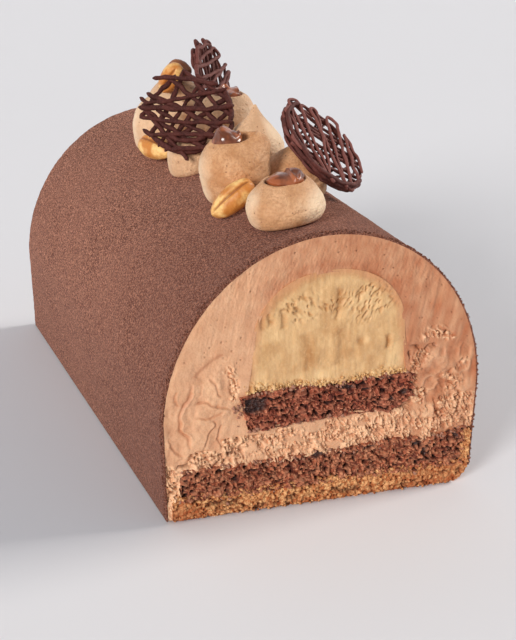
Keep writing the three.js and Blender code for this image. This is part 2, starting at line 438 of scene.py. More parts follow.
def coordinate(wire, axis):
    """One of the piece's own coordinates in metres: 0 for x, 1 for y, 2 for z."""
    return wire.node("SeparateXYZ", {}, {0: wire.node("TexCoord", output="Object")}, axis)


def noted(wire, name):
    """A number kept on the mesh."""
    return wire.node("Attribute", {"attribute_name": name}, output="Fac")


def finish_off(wire, colour, rough, bump=None, height=0.05, **fixed):
    """Ends a finish: colour and roughness may vary, the rest is fixed.
    Height is the depth of the bump in millimetres."""
    inputs = {"Base Color": colour, "Roughness": rough}
    if bump is not None:
        inputs["Normal"] = wire.node("Bump", {}, {"Strength": 1.0, "Distance": height * MM, "Height": bump})
    inputs.update({key.replace("_", " "): value for key, value in fixed.items()})
    surface = wire.node("BsdfPrincipled", {}, inputs)
    wire.node("OutputMaterial", {}, {"Surface": surface})


# %% [markdown]
# ## The velvet coat
#
# A frozen log sprayed with cocoa butter and chocolate gets a suede-like coat
# of tiny frozen drops.  It is a thin skin, so the piece is one sheet carried
# along the log: up the left flank, over the arch, down the right flank, then
# over the softened back edge to the foot of the end face.  A second, plain
# sheet closes it from inside.  Grain down to a millimetre is moved points;
# what is finer is bump.

# %% The log's section
def flank_left(z, inset):
    """x of the left flank at height z; it draws in towards its foot."""
    return -(HALF - inset) + TUCK * (1 - np.minimum(z, SIDE) / SIDE)


def ridge(x):
    """Height of the log's skin above the plate, x from the ridge."""
    return SIDE + ARCH * np.sqrt(1 - (np.asarray(x, float) / HALF) ** 2)


def section(counts, inset, foot_left, foot_right):
    """Points up the left flank, along the elliptical arch at even steps, and
    down the right flank."""
    left_z = np.linspace(foot_left, SIDE, counts[0], endpoint=False)
    dense = np.linspace(math.pi, 0, 2000)
    arc = np.r_[0, np.cumsum(np.hypot(np.diff(HALF * np.cos(dense)), np.diff(ARCH * np.sin(dense))))]
    turn = np.interp(np.linspace(0, arc[-1], counts[1]), arc, dense)
    right_z = np.linspace(SIDE, foot_right, counts[2] + 1)[1:]
    x = np.r_[flank_left(left_z, inset), (HALF - inset) * np.cos(turn), np.full(counts[2], HALF - inset)]
    z = np.r_[left_z, SIDE + (ARCH - inset) * np.sin(turn), right_z]
    return x, z


END_ROUND = 2.6          # radius of the softened back edge
FOOT_LEFT, FOOT_RIGHT = 0.5, 4.2     # heights at which the coat ends on each side
SKIN = 0.36              # thickness of the coat


def coat_sheet(counts, lengths, inset):
    """The coat as rows of sections: straight along the log, over the rounded
    back edge, and in to a point at the middle of the end face's foot."""
    turn = np.linspace(0, math.pi / 2, lengths[1] + 1)[1:]
    radius = END_ROUND - inset
    y = np.r_[np.linspace(FRONT, BACK - END_ROUND, lengths[0]), BACK - END_ROUND + radius * np.sin(turn)]
    drawn = np.r_[np.zeros(lengths[0]), radius * (1 - np.cos(turn))]
    rows = np.array([np.stack(section(counts, inset + d, FOOT_LEFT, FOOT_RIGHT), -1) for d in drawn])
    shrink = np.linspace(1, 0, lengths[2] + 1)[1:, None, None]
    foot = np.array([0.0, FOOT_LEFT])
    rows = np.concatenate([rows, foot + (rows[-1] - foot) * shrink])
    y = np.r_[y, np.full(lengths[2], y[-1])]
    return np.stack([rows[..., 0], np.broadcast_to(y[:, None], rows.shape[:2]), rows[..., 1]], -1)


def grid_normals(grid):
    """Unit normals of a grid of points, from the steps to its neighbours."""
    normal = np.cross(np.gradient(grid, axis=1), np.gradient(grid, axis=0))
    return normal / np.maximum(np.linalg.norm(normal, axis=-1, keepdims=True), 1e-9)


counts, lengths = (46, 212, 40), (250, 8, 42)
sheet = coat_sheet(counts, lengths, 0.0)
columns = sum(counts)
flat = sheet.reshape(-1, 3)
grain = 0.10 * layered(flat, 9.0, 11, 2) + 0.13 * layered(flat, 1.3, 21, 2, 0.8) - 0.04
settle = step(0.0, 1.5, sheet[..., 1] - FRONT) * step(0, 1.2, sheet[..., 2] - FOOT_LEFT)
sheet = sheet + grid_normals(sheet) * (grain.reshape(sheet.shape[:2]) * settle)[..., None]
sheet[0, :, 1] += 0.10 * soft(sheet[0], 1.3, 31)
print("coat grid", sheet.shape[:2])

# %% The coat's finish
velvet, wire = start_finish("velvet_coat")
fine = speckle(wire, 0.40, 1.0, 0.5)
coarse = speckle(wire, 0.95, 1.0, 0.6, w=3.1)
cloud = speckle(wire, 22.0, 2.0, w=7.7)
tone = fine.between(0.40, 0.66).paint(shade(92, 45, 30), shade(202, 140, 112))
tone = (coarse.between(0.46, 0.60) * 0.35).paint(tone, shade(116, 65, 47))
tone = (cloud.between(0.35, 0.65) * 0.18).paint(tone, shade(168, 114, 94))
# Painted shade: the coat is darkened over its front part towards the cut, and towards its foot.
near_cut, near_foot = coordinate(wire, 1).between(-0.070, 0.015), coordinate(wire, 2).between(0.004, 0.036)
tone = ((1 - near_cut) * 0.42).paint(tone, shade(98, 50, 36))
tone = ((1 - near_foot) * 0.22).paint(tone, shade(98, 52, 38))
finish_off(wire, tone, 0.94, fine + coarse * 0.5, 0.55, Sheen_Weight=0.15, Sheen_Roughness=0.5,
           Sheen_Tint=shade(235, 205, 195), Specular_IOR_Level=0.2)

# %% Close the coat
inner_rows = coat_sheet(counts, (2, 1, 1), SKIN)
inner_rows[0, :, 1] = sheet[0, :, 1]
inner_rows[-2:, :, 1] = BACK - SKIN
points = np.concatenate([sheet.reshape(-1, 3), inner_rows.reshape(-1, 3)])
rows, inner_count, start = len(sheet), len(inner_rows), sheet.shape[0] * columns
lip = np.arange(columns - 1)
quads = np.concatenate([
    grid_quads(rows, columns),
    grid_quads(inner_count, columns, start)[:, ::-1],
    np.stack([lip + 1, lip, lip + start, lip + start + 1], -1),
])
left_foot = np.r_[np.arange(rows) * columns, start + np.arange(inner_count)[::-1] * columns]
right_foot = left_foot + columns - 1
coat_mesh = tidy(mesh_of("velvet_coat", points, quads, [left_foot, right_foot[::-1]]))
piece("velvet_coat", coat_mesh, velvet, ["velvet_coat"])

# %% [markdown]
# ## The mousse at the cut
#
# The knife drags the set mousse: smooth near the coat, with pin pores and
# short streaks; darker in a ring round the cream; folded low on the left; and
# torn into open crumb between the two sponges.  The face is three grids that
# share their edges: a ring round the core, a band under it, and the narrow
# leg that runs down beside the sponge on the left.

# %% The core's outline
STRIP_LEFT, STRIP_RIGHT = np.array([-19.2, 21.3]), np.array([21.7, 25.0])
DOME_FOOT, DOME_SHOULDER, DOME_TOP = 29.3, 42.0, box_mm("cream_core")[1][2]
DOME_MIDDLE, DOME_HALF, DOME_RISE = 0.2, 18.7, 16.4
CORE_BACK, LAYERS_BACK = 54.0, BACK - 3.5        # where the core and the layers under it stop


def dome_edges(z, grow=0.0):
    """Left and right x of the cream dome at height z: straight sides that
    lean in, then a slightly squared arch."""
    up = np.clip((z - DOME_SHOULDER) / (DOME_TOP + grow - DOME_SHOULDER), 0, 1) ** (1 / 0.92)
    across = np.sqrt(1 - up ** 2) ** 0.92
    lean = np.clip((DOME_SHOULDER - z) / (DOME_SHOULDER - DOME_FOOT), 0, 1)
    reach = (DOME_HALF + grow) * across
    return DOME_MIDDLE - reach - 1.5 * lean, DOME_MIDDLE + reach + 2.1 * lean


def past_dome(x, z, grow=0.0):
    """How far a place lies outside the dome's arch, and below zero inside it."""
    half = DOME_HALF + grow
    return np.hypot(x - DOME_MIDDLE, (z - DOME_SHOULDER) * half / (DOME_RISE + grow)) - half


def evenly(path, count):
    """The same path with `count` points at even steps along it."""
    along = np.r_[0, np.cumsum(np.hypot(*np.diff(path, axis=0).T))]
    at = np.linspace(0, along[-1], count)
    return np.stack([np.interp(at, along, path[:, 0]), np.interp(at, along, path[:, 1])], -1)


def core_path(count, shrink):
    """From the strip's left foot, up and over the dome, to its right foot."""
    low = np.linspace(DOME_FOOT + 0.5, DOME_SHOULDER, 60, endpoint=False)
    high = DOME_SHOULDER + (DOME_TOP - shrink - DOME_SHOULDER) * np.sin(np.linspace(0, math.pi / 2, 300))
    z = np.r_[low, high]
    left, right = dome_edges(z, -shrink)
    path = np.concatenate([
        [STRIP_LEFT, STRIP_LEFT + [-1.8, 7.9]],
        np.stack([left, z], -1),
        np.stack([right, z], -1)[::-1],
        [STRIP_RIGHT + [0.1, 5.0], STRIP_RIGHT],
    ])
    return evenly(path, count)


def skin_path(count, low):
    """The cut's outer edge from height `low` on the left, over, to `low` on the right."""
    return evenly(np.stack(section((80, 2000, 80), SKIN, low, low), -1), count)


# %% The three grids
AROUND, THROUGH, MIDDLE, DOWN, LEG, LEG_ACROSS = 640, 90, 250, 50, 90, 25    # points each way
BAND_TOP = 19.0
LEG_X = -34.9            # where the sponges' left ends meet the leg
SPONGE_TOP, LIP_TOP = box_mm("sponge_lower")[1][2], box_mm("biscuit_base")[1][2]
STRIP_FOOT = [(-19.2, 21.3), (-17.8, 21.0), (-14.3, 21.6), (-8.7, 22.0), (6.5, 22.9), (12.5, 22.6), (17, 22.0),
              (20, 23.4), (21.7, 25.0)]
BAND_FOOT = [(-39, 12.6), (LEG_X, 12.5), (-27, 12.2), (-14, 12.3), (7, 12.7), (12, 13.1), (18, 13.5),
             (23.5, 13.4), (28, 12.2), (33.5, 13.3), (36, 14.6), (40, 14.6)]


def between(first, second, count):
    """Straight rows of points from one edge to the other."""
    t = np.linspace(0, 1, count)[:, None, None]
    return first * (1 - t) + second * t


ring = between(core_path(AROUND, 0.25), skin_path(AROUND, BAND_TOP), THROUGH)
strip_x = np.linspace(STRIP_LEFT[0], STRIP_RIGHT[0], MIDDLE)
strip_foot = np.stack([strip_x, height_of(STRIP_FOOT, strip_x)], -1)
band_top = np.concatenate([ring[::-1, 0], strip_foot[1:-1], ring[:, -1]])
band_x = np.r_[
    np.linspace(flank_left(BAND_FOOT[0][1], SKIN), LEG_X, LEG_ACROSS),
    np.linspace(LEG_X, -22, THROUGH - LEG_ACROSS + 1)[1:],
    np.linspace(-22, 22, MIDDLE)[1:-1], np.linspace(22, HALF - SKIN, THROUGH),
]
band_low = np.stack([band_x, height_of(BAND_FOOT, band_x)], -1)
band = between(band_top, band_low, DOWN)
leg_z = np.linspace(band_low[0, 1], 0.7, LEG)
leg_right = LEG_X - 2.0 * step(6.4, 4.6, leg_z)
leg = between(np.stack([flank_left(leg_z, SKIN), leg_z], -1), np.stack([leg_right, leg_z], -1), LEG_ACROSS)
face, quads = join_grids(ring, band, leg.swapaxes(0, 1))
print("mousse face", len(face), "points")

# %% Tear the edges that meet sponge
def torn(x, z, amount, seed):
    """Wobble of a torn edge, across and up, as two smooth noises."""
    return [amount * layered(on_cut(x, z), 1.1, number, 2, 0.7) for number in (seed, seed + 50)]


x, z = face.T
near_strip = step(1.6, 0.0, np.abs(z - height_of(strip_foot, x))) * step(23.5, 21.5, np.abs(x))
near_sponge = step(1.5, 0.0, np.abs(z - height_of(band_low, x))) * step(-38.0, -35.5, x) * step(37.5, 36, x)
near_leg = step(1.2, 0, np.abs(x + 35.2)) * step(SPONGE_TOP + 1, SPONGE_TOP, z)
near_ends = step(1.5, 0.0, np.minimum(np.abs(x + 20.9), np.abs(x - 21.6)))
near_ends = near_ends * step(20.5, 22, z) * step(33, 30, z)
dx, dz = torn(x, z, 0.75, 400)
loose = np.clip(near_strip + near_sponge + near_leg + near_ends, 0, 1)
x, z = x + dx * (loose * 0.7 + near_ends * 0.9), z + dz * loose

# %% Heights of the mousse face
def torn_crumb(x, z, seed):
    """Torn mousse: sharp crests where a warped noise crosses zero, at two
    sizes, with a few pits torn out between them.  Gives height, pits, crests."""
    at = on_cut(x, z)
    warped = on_cut(x + 0.3 * z + 0.6 * soft(at, 1.5, seed), z + 0.6 * soft(at, 1.5, seed + 1))
    crest = crests(warped, (0.9, 1.7, 1), seed + 2, 3.0)
    small = crests(warped, (0.55, 0.8, 1), seed + 3, 2.6)
    tiny = soft(at, 0.42, seed + 7)
    far, lot = seeds(warped[..., 0], warped[..., 1], 1.3, seed + 4)
    near, near_lot = seeds(warped[..., 0], warped[..., 1], 0.7, seed + 5)
    patch = step(-0.1, 0.4, soft(at, 3.0, seed + 8))
    hole = step(0.45, 0.2, far) * (lot < 0.12) + step(0.5, 0.25, near) * (near_lot < 0.16)
    hole = np.clip(hole, 0, 1) * patch
    height = 0.48 * crest + 0.42 * small + 0.18 * tiny + 0.55 * soft(at, 2.2, seed + 6) - 0.42 - 0.7 * hole
    return height, hole, 0.6 * crest + 0.5 * small


FOLDS = [  # line, width, depth, lift: the lobe stands on the right of the line
    ([(-33.3, 17.0), (-33.4, 20.8), (-35.3, 23.3), (-35.9, 26.5), (-35.0, 29.0), (-33.4, 31.5), (-33.4, 35.6)],
     0.54, 0.30, 0.47),
    ([(-31.0, 31.2), (-30.8, 34.0)], 0.43, 0.20, 0.13),
    ([(-28.9, 35.6), (-27.3, 32.6), (-25.9, 29.8)], 0.58, 0.20, 0.21),
    ([(-36.0, 28.9), (-36.9, 31.1), (-36.5, 33.4)], 0.43, 0.17, 0.17),
    ([(-32.7, 29.2), (-30.3, 29.5), (-28.2, 28.5), (-25.8, 27.9), (-23.4, 27.0)], 0.43, 0.25, 0.34),
    ([(-32.3, 25.9), (-28.6, 25.5), (-24.7, 26.8)], 0.36, 0.17, 0.30),
    ([(-28.2, 24.9), (-27.3, 23.6), (-28.9, 21.2), (-29.9, 17.5)], 0.43, 0.25, 0.26),
    ([(-25.7, 24.0), (-26.3, 20.6), (-25.3, 17.0)], 0.43, 0.17, 0.21),
    ([(-38.6, 21.4), (-37.0, 18.6), (-34.6, 16.2)], 0.50, 0.20, 0.21),
    ([(-33.2, 35.2), (-30.9, 37.6), (-28.0, 39.9), (-25.5, 41.0)], 0.65, 0.07, -0.17),
    ([(31.0, 27.6), (33.8, 26.4), (35.6, 23.6), (35.4, 20.4), (33.6, 18.0)], 0.62, 0.42, 0.45),
    ([(28.2, 22.2), (29.4, 19.6), (31.4, 17.6)], 0.50, 0.28, 0.36),
    ([(28.6, 16.6), (29.8, 14.4), (32.6, 13.9), (34.4, 15.2)], 0.43, 0.23, -0.34),
    ([(28.3, 24.0), (28.9, 21.4), (28.5, 18.8)], 0.43, 0.20, 0.26),
    ([(24.6, 21.6), (25.0, 19.6), (24.0, 18.0)], 0.43, 0.17, 0.21),
]
CRACKS = [  # line, width, depth
    ([(20.8, 37.2), (23.0, 37.5), (24.3, 36.2), (26.3, 37.1), (28.2, 37.9)], 0.42, 0.9),
    ([(20.8, 37.3), (21.6, 33.8), (23.0, 32.2), (24.4, 33.1)], 0.42, 0.8),
    ([(18.5, 43.2), (19.2, 40.9), (20.1, 39.0)], 0.35, 0.7),
    ([(-38.4, 12.9), (-33.6, 14.4), (-30.3, 15.2), (-25.4, 16.2), (-19, 15.4)], 0.35, 0.5),
]


TORN_PATCHES = [  # middle, size
    ((-24.8, 38.3), (1.7, 2.1)), ((-22.9, 33.8), (1.2, 4.2)), ((28.4, 40.2), (5.4, 2.0)),
    ((31.2, 28.2), (4.4, 3.0)), ((25.4, 24.0), (2.8, 2.4)), ((25.5, 17.0), (5.0, 3.2)),
    ((35.6, 31.5), (1.6, 2.2)), ((34.2, 18.0), (2.6, 1.8)), ((24.0, 34.2), (2.4, 2.4)),
    ((22.6, 28.5), (1.0, 5.0)),
]


def torn_zone(x, z):
    """Where the mousse is torn open: 0 smooth, 1 torn."""
    at = on_cut(x, z)
    zone = step(22.4, 20.4, z - 0.07 * x + 0.05 * (x < -20) * (x + 20)) * step(-28.5, -24.0, x)
    zone += step(18.5, 16.0, z) * step(-36, -31, x) + step(15.5, 13.5, z) * step(-33, -36, x)
    zone += 1.25 * sum(blob(x, z, place, size) for place, size in TORN_PATCHES)
    patches = 0.80 + 1.5 * layered(at, (4.2, 2.6, 1), 77, 2)
    return step(0.2, 0.75, np.clip(zone, 0, 1) * np.clip(patches, 0, 1.2))


def mousse_relief(x, z):
    """How far the face stands towards the eye, in millimetres; how dark it is,
    partly its own tone and partly painted shade and highlight; and the
    painted shade in its cracks, torn holes and pores."""
    at = on_cut(x, z)
    left, right = dome_edges(np.clip(z, DOME_FOOT, DOME_TOP))
    outside = np.maximum(left - x, x - right)
    outside = np.where(z > DOME_SHOULDER, past_dome(x, z), outside)
    crown = step(48, 56, z)
    right_side = step(12, 24, x)
    zone = torn_zone(x, z)
    calm = 1 - zone

    slanted = on_cut(x - 0.16 * (z - 40), z)
    drag = 0.05 * layered(slanted, (1.0, 6.0, 1), 101, 3, 0.6)
    drag += crown * 0.10 * layered(slanted, (0.5, 1.1, 1), 111, 2, 0.8)
    drag += right_side * step(35, 41, z) * 0.20 * layered(slanted, (1.4, 9, 1), 121, 2, 0.6)
    drag += step(-12, -20, x) * step(34, 42, z) * 0.07 * layered(slanted, (0.8, 5, 1), 125, 2, 0.6)
    height = 1.5 * drag * (0.4 + 0.6 * calm)
    height += 0.20 * soft(at, 7.0, 141) + 0.16 * soft(at, 2.6, 142) + 0.035 * soft(at, 0.7, 143)
    dark = 0.42 * layered(slanted, (1.5, 7.0, 1), 191, 2) * (0.25 + right_side) + 0.22 * soft(at, 2.2, 195)
    dark += 0.30 * crown * layered(slanted, (0.5, 1.4, 1), 196, 2)

    # Each fold gets painted shade in its groove and a painted highlight on its raised lobe.
    for number, (line, width, depth, lift) in enumerate(FOLDS):
        wavy = 0.35 * soft(at, 1.7, 230 + number) + 0.22 * soft(at, 0.7, 250 + number)
        rise, groove = fold(x + wavy, z + 0.6 * wavy, line, 0.72 * width, depth, lift)
        height, dark = height + 1.05 * rise, dark + 0.45 * groove - 0.5 * np.clip(rise, 0, 1)
    pit = np.zeros_like(x)
    # The cracks get painted shade, kept in pit.
    for number, (line, width, depth) in enumerate(CRACKS):
        beads = step(-0.35, 0.25, soft(at, 0.8, 260 + number))
        wavy = 0.5 * soft(at, 1.1, 270 + number)
        rise, groove = fold(x + wavy, z - wavy, line, width, depth, 0.25)
        height, pit = height + rise * (0.4 + 0.6 * beads), pit + 0.9 * groove * beads

    crumb, hole, crest = torn_crumb(x, z, 301)
    height = height * (1 - 0.3 * zone) + zone * crumb * 1.2
    # Painted highlight on the torn crests, painted shade between them and in the torn holes.
    dark += zone * (-0.22 - 1.5 * (crest - 0.33))
    pit += zone * hole * 0.55
    folded = np.clip(step(-21, -24, x) * step(40, 36, z) + step(23, 26, x) * step(37, 33, z), 0, 1) * calm
    ruck = layered(at, (2.2, 3.4, 1), 311, 2)
    height += folded * (0.42 * ruck + 0.12 * soft(at, 0.8, 315))
    smear = crests(at + 0.8 * soft(at, 2.0, 318)[..., None], (2.8, 3.6, 1), 317, 2.4)
    smeared = step(22.5, 26, x) * step(39, 35, z) * step(14, 17, z) * calm
    height += smeared * (0.42 * smear + 0.18 * soft(at, 1.1, 319) - 0.15)
    # Painted highlight on the raised smears and rucks, painted shade in the hollows between them.
    dark += smeared * 0.55 * (0.35 - smear)
    dark -= folded * 0.4 * ruck

    pin, lot = seeds(x, z, 1.9, 161)
    size = 0.07 + 0.09 * lot / 0.2
    pins = step(size, size * 0.5, pin) * (lot < 0.2) * step(1.0, 3.0, outside) * calm * step(30, 38, z)
    height -= 0.25 * pins
    halo = np.exp(-((outside - 1.7) / 1.7) ** 2) * step(36, 47, z) * (0.8 + 0.25 * soft(at, 4, 171))
    height -= 0.14 * halo
    # The darkening over the upper right and low on the right side is painted shade.
    dark += 0.32 * halo + 0.62 * step(-6, 20, x) * step(20, 40, z) + 0.45 * right_side * step(44, 24, z)
    dark += 0.40 * crown * step(-24, -8, x) * step(20, 0, x) - 0.10
    # Lighter on the leg beside the left sponge, which softens the painted shade of its torn crests.
    dark -= 0.5 * step(-34.4, -35.6, x) * step(13, 11, z)
    # Painted shade also fills the pin pores.
    return height, dark, np.clip(pit + 0.55 * pins, 0, 1)


height, dark, pit = mousse_relief(x, z)
outer = np.zeros(len(x))
outer[: ring.shape[0] * ring.shape[1]] = np.repeat(np.linspace(0, 1, THROUGH), AROUND)
height = height * (1 - step(0.93, 1.0, outer)) - 0.05
points = np.stack([x, FRONT - height, z], -1)
mousse_mesh = mesh_of("mousse", points, quads)
note(mousse_mesh, "dark", dark)
note(mousse_mesh, "pit", pit)


def mousse_depth(x, z):
    """The core's channel ends short of the back; the rest runs nearly through."""
    inside = (np.abs(x) < 22.6) & (z > 20.0) & (z < DOME_TOP + 1.2)
    return np.where(inside, CORE_BACK + 0.3, LAYERS_BACK)


give_depth(mousse_mesh, mousse_depth)

# %% The mousse's finish
mousse_finish, wire = start_finish("mousse")
fine = speckle(wire, 0.5, 3.0, 0.6)
soft_patch = speckle(wire, 6.0, 2.0)
# The dark value is partly the mousse's own tone and partly painted shade and highlight from its relief.
tone = noted(wire, "dark").between(-0.9, 1.2).paint(shade(246, 198, 156), shade(180, 106, 68))
tone = (soft_patch.between(0.42, 0.6) * 0.2).paint(tone, shade(214, 154, 112))
tone = (fine.between(0.45, 0.62) * 0.22).paint(tone, shade(202, 138, 96))
# Painted shade in the cracks, torn holes and pin pores.
tone = (noted(wire, "pit") * 0.8).paint(tone, shade(112, 58, 32))
finish_off(wire, tone, 0.48, fine, 0.13, Subsurface_Weight=0.06, Subsurface_Scale=0.001,
           Subsurface_Radius=(1.0, 0.5, 0.3), Specular_IOR_Level=0.4)
piece("mousse", mousse_mesh, mousse_finish, ["mousse"])

# %% [markdown]
# ## The cream dome
#
# The cream is firmer and yellower.  The knife pulled it downwards, so it is
# streaked from top to bottom, and near the crown it tore into small chips.
# Its rows run across from one side to the other and close at the crown.

# %% The cream's grid and heights
def strip_top(x):
    """Height of the line where the cream sits on the sponge strip."""
    line = [(-21, 29.6), (-13.6, 30.4), (-6.9, 30.5), (-0.8, 30.0), (3.6, 29.7), (8.6, 30.6), (14.9, 31.1),
            (21, 30.7)]
    return height_of(line, x)


LAP = 0.35               # how far the cream laps over the mousse round it
rows_low = np.linspace(DOME_FOOT, DOME_SHOULDER, 76, endpoint=False)
rows_high = DOME_SHOULDER + (DOME_TOP + LAP - DOME_SHOULDER) * np.sin(np.linspace(0, math.pi / 2, 104))
z = np.r_[rows_low, rows_high]
left, right = dome_edges(z, LAP)
grid = between(np.stack([left, z], -1), np.stack([right, z], -1), 240).swapaxes(0, 1)
x, z = grid.reshape(-1, 2).T
dx, dz = torn(x, z, 0.8, 500)
z = z + (dz + strip_top(x) + 0.1 - DOME_FOOT) * step(3.0, 0.0, z - DOME_FOOT)


TONGUES = [  # line, width, depth of the grooves that the knife drew in the cream
    ([(-6.3, 44.5), (-5.4, 39.2), (-4.7, 34.0)], 1.7, 0.24),
    ([(2.5, 44.5), (3.4, 39.7), (3.0, 34.0)], 1.6, 0.22),
    ([(-17.3, 49.3), (-16.6, 45.5)], 0.8, 0.40),
    ([(-15.2, 49.8), (-14.6, 46.0)], 0.7, 0.35),
    ([(-11.8, 50.6), (-11.2, 45.0)], 0.8, 0.40),
    ([(1.5, 55.0), (1.9, 49.0), (1.4, 46.0)], 0.7, 0.30),
    ([(15.0, 41.8), (15.5, 37.8)], 0.8, 0.35),
]


def cream_relief(x, z):
    """Height, darkness and yellow crumb of the cream face.  The darkness holds
    the cream's own streaks, painted shade in its dents, grooves and dimples,
    and painted highlights on the knob, the crumb's crests and two patches.
    """
    at = on_cut(x, z)
    drawn = on_cut(x + 0.05 * z + 0.6 * soft(at, 9, 201), z)
    groove = layered(drawn, (2.3, 18, 1), 202, 3, 0.6)
    streak = layered(drawn, (0.8, 5, 1), 205, 2, 0.6)
    chips = 1.2 * blob(x, z, (-7.6, 50.2), (4.4, 3.6)) + 1.2 * blob(x, z, (9.8, 50.0), (6.2, 4.8))
    chips += 0.5 * blob(x, z, (0.5, 50.5), (4, 3)) + 0.45 * blob(x, z, (-14, 46), (4, 5))
    chips = step(0.15, 0.8, np.clip(chips, 0, 1) * (0.85 + 0.9 * layered(at, 2.0, 207, 2)))
    tilted = np.where(x < 0, 0.75, -0.55)
    wx, wz = x + tilted * z + 0.55 * soft(at, 1.5, 208), z + 0.4 * soft(at, 1.5, 209)
    dent, lot = seeds(wx, wz, 1.5, 216, 1.4)
    small, small_lot = seeds(wx, wz, 0.8, 218, 1.6)
    dent = step(0.60, 0.0, dent) * (lot < 0.6) * (0.5 + 0.9 * lot)
    dent = np.maximum(dent, 0.8 * step(0.62, 0.0, small) * (small_lot < 0.5))
    low = step(2.8, 0.2, z - strip_top(x) - 1.6 * step(-12, -20, x))
    bump, hole, edge = torn_crumb(x, z, 221)
    fine = soft(at, 0.9, 217)
    height = 0.15 * groove + 0.08 * streak - chips * (0.75 * dent - 0.15) + 0.20 * soft(at, 6, 211)
    height += 0.24 * soft(at, 2.4, 212) + 0.09 * fine + low * bump * 1.1
    # Painted shade in the chips' dents and a painted highlight between them; the streaks are the cream's own
    # tone.
    dark = 0.42 * groove + 0.20 * streak + chips * (1.1 * dent - 0.2) + 0.40 * soft(at, 3.0, 213) + 0.15 * fine
    # Painted shade in the knife grooves.
    for line, width, depth in TONGUES:
        rise, dip = fold(x + 0.4 * soft(at, 2.0, 214), z, line, width, depth, 0.1)
        height, dark = height + rise, dark + 0.5 * dip
    dimple = blob(x, z, (8.0, 40.6), (1.0, 1.0)) + 0.9 * blob(x, z, (15.2, 39.6), (0.6, 1.6))
    knob = blob(x, z, (9.7, 40.9), (0.8, 0.8))
    height += 0.30 * knob - 0.35 * dimple
    # Painted shade in the dimples and a painted highlight on the knob beside them.
    dark += 0.8 * dimple - 0.6 * knob
    # Painted highlights: lighter low in the middle and at the lower right.
    dark -= 0.8 * blob(x, z, (-0.9, 32.8), (3.4, 1.4)) + 0.35 * blob(x, z, (15.5, 35.5), (4, 3))
    dark += 0.45 * step(3.0, 0.5, 0.2 - past_dome(x, z)) * step(46, 50, z)
    # In the low crumb, painted highlight on the crests and painted shade between them; the yellow is the
    # crumb's own colour.
    return height, dark + low * (0.1 - 0.5 * edge), np.clip(low * (1.5 * hole + 0.6 * (1 - edge)), 0, 1)


height, dark, yellow = cream_relief(x, z)
left, right = dome_edges(np.clip(z, DOME_FOOT, DOME_TOP), LAP)
rim = np.where(z > DOME_SHOULDER, -past_dome(x, z, LAP), np.minimum(x - left, right - x))
rim = step(2.6, -0.2, rim + 0.9 * layered(on_cut(x, z), 2.2, 219, 2))
points = np.stack([x, FRONT - height, z], -1)
cream_mesh = mesh_of("cream_core", points, grid_quads(*grid.shape[:2]))
note(cream_mesh, "dark", dark)
note(cream_mesh, "pit", yellow)
note(cream_mesh, "rim", rim)
give_depth(cream_mesh, lambda x, z: CORE_BACK)

# %% The cream's finish
cream_finish, wire = start_finish("cream")
fine = speckle(wire, 0.6, 3.0, 0.6)
long_streak = speckle(wire, 1.2, 3.0, 0.6, stretch=(1, 1, 6))
# The dark value holds the cream's own streaks, with painted shade and highlight from its relief.
tone = noted(wire, "dark").between(-1.0, 1.3).paint(shade(242, 202, 148), shade(182, 124, 70))
tone = (long_streak.between(0.44, 0.6) * 0.2).paint(tone, shade(208, 156, 98))
tone = (fine.between(0.5, 0.65) * 0.2).paint(tone, shade(240, 205, 155))
tone = (noted(wire, "pit") * 0.6).paint(tone, shade(204, 142, 60))
tone = (noted(wire, "rim") * 0.75).paint(tone, shade(214, 152, 108))
finish_off(wire, tone, 0.5, fine + long_streak * 0.5, 0.10, Subsurface_Weight=0.08, Subsurface_Scale=0.002,
           Subsurface_Radius=(1.0, 0.6, 0.3), Specular_IOR_Level=0.35)
piece("cream_core", cream_mesh, cream_finish, ["cream_core"])

# %% [markdown]
# ## The two sponges
#
# Sponge tears into crumbs when it is cut.  Both faces are plain grids whose
# heights come from seeds of three sizes, so there are lumps, smaller crumbs
# on the lumps, and open holes between them.  They lie a little behind the
# mousse, whose torn edge hides theirs.

# %% Sponge heights
def sponge_relief(x, z, seed):
    """Lumps, crumbs and holes of a torn sponge: height, painted shade in the
    holes and low places, painted highlight on crests and on some crumbs, and
    each crumb's own random number."""
    at = on_cut(x, z)
    wx, wz = x + 0.6 * soft(at, 1.6, seed + 7), z + 0.5 * soft(at, 1.6, seed + 8)
    big, lot = seeds(wx, wz, 2.1, seed, 0.50)
    mid, mid_lot = seeds(wx, wz, 1.05, seed + 1, 0.60)
    fine, fine_lot = seeds(wx, wz, 0.42, seed + 2)
    crest = crests(on_cut(wx, wz), (1.2, 0.8, 1), seed + 9, 3)
    height = 0.9 * (0.6 - big) + 0.95 * (0.6 - mid) + 0.42 * (0.6 - fine) + 0.45 * crest
    height += 0.7 * layered(at, (3.4, 1.8, 1), seed + 3, 2)
    low = step(0.1, -0.5, height)
    hole = np.clip(step(0.55, 0.25, big) * (lot < 0.08) + step(0.6, 0.25, mid) * (mid_lot < 0.17), 0, 1)
    height -= hole
    # Painted highlight on crests and some crumbs; painted shade in the holes and low places.
    glint = (fine_lot > 0.80) * step(0.5, 0.2, fine) * (1 - hole) + 0.5 * crest * (1 - hole)
    hole, glint = np.clip(hole + 0.75 * low, 0, 1), np.clip(glint, 0, 1)
    return 1.15 * height, hole, glint, mid_lot * 0.6 + 0.4 * fine_lot


def slab_face(left, right, foot, top, rows, columns, lean=0.0):
    """Grid between two torn ends, with foot and top given as heights over x;
    the left end's foot stands `lean` further in than its top."""
    x = np.linspace(left, right, columns)
    t = np.linspace(0, 1, rows)[:, None]
    z = foot(x) * (1 - t) + top(x) * t
    x = (x + lean * (1 - t) * np.exp((left - x) / 4)).ravel()
    dx, _ = torn(x, z.ravel(), 0.9, 550)
    return x + dx * step(2.0, 0.0, np.minimum(x - left, right - x)), z.ravel()


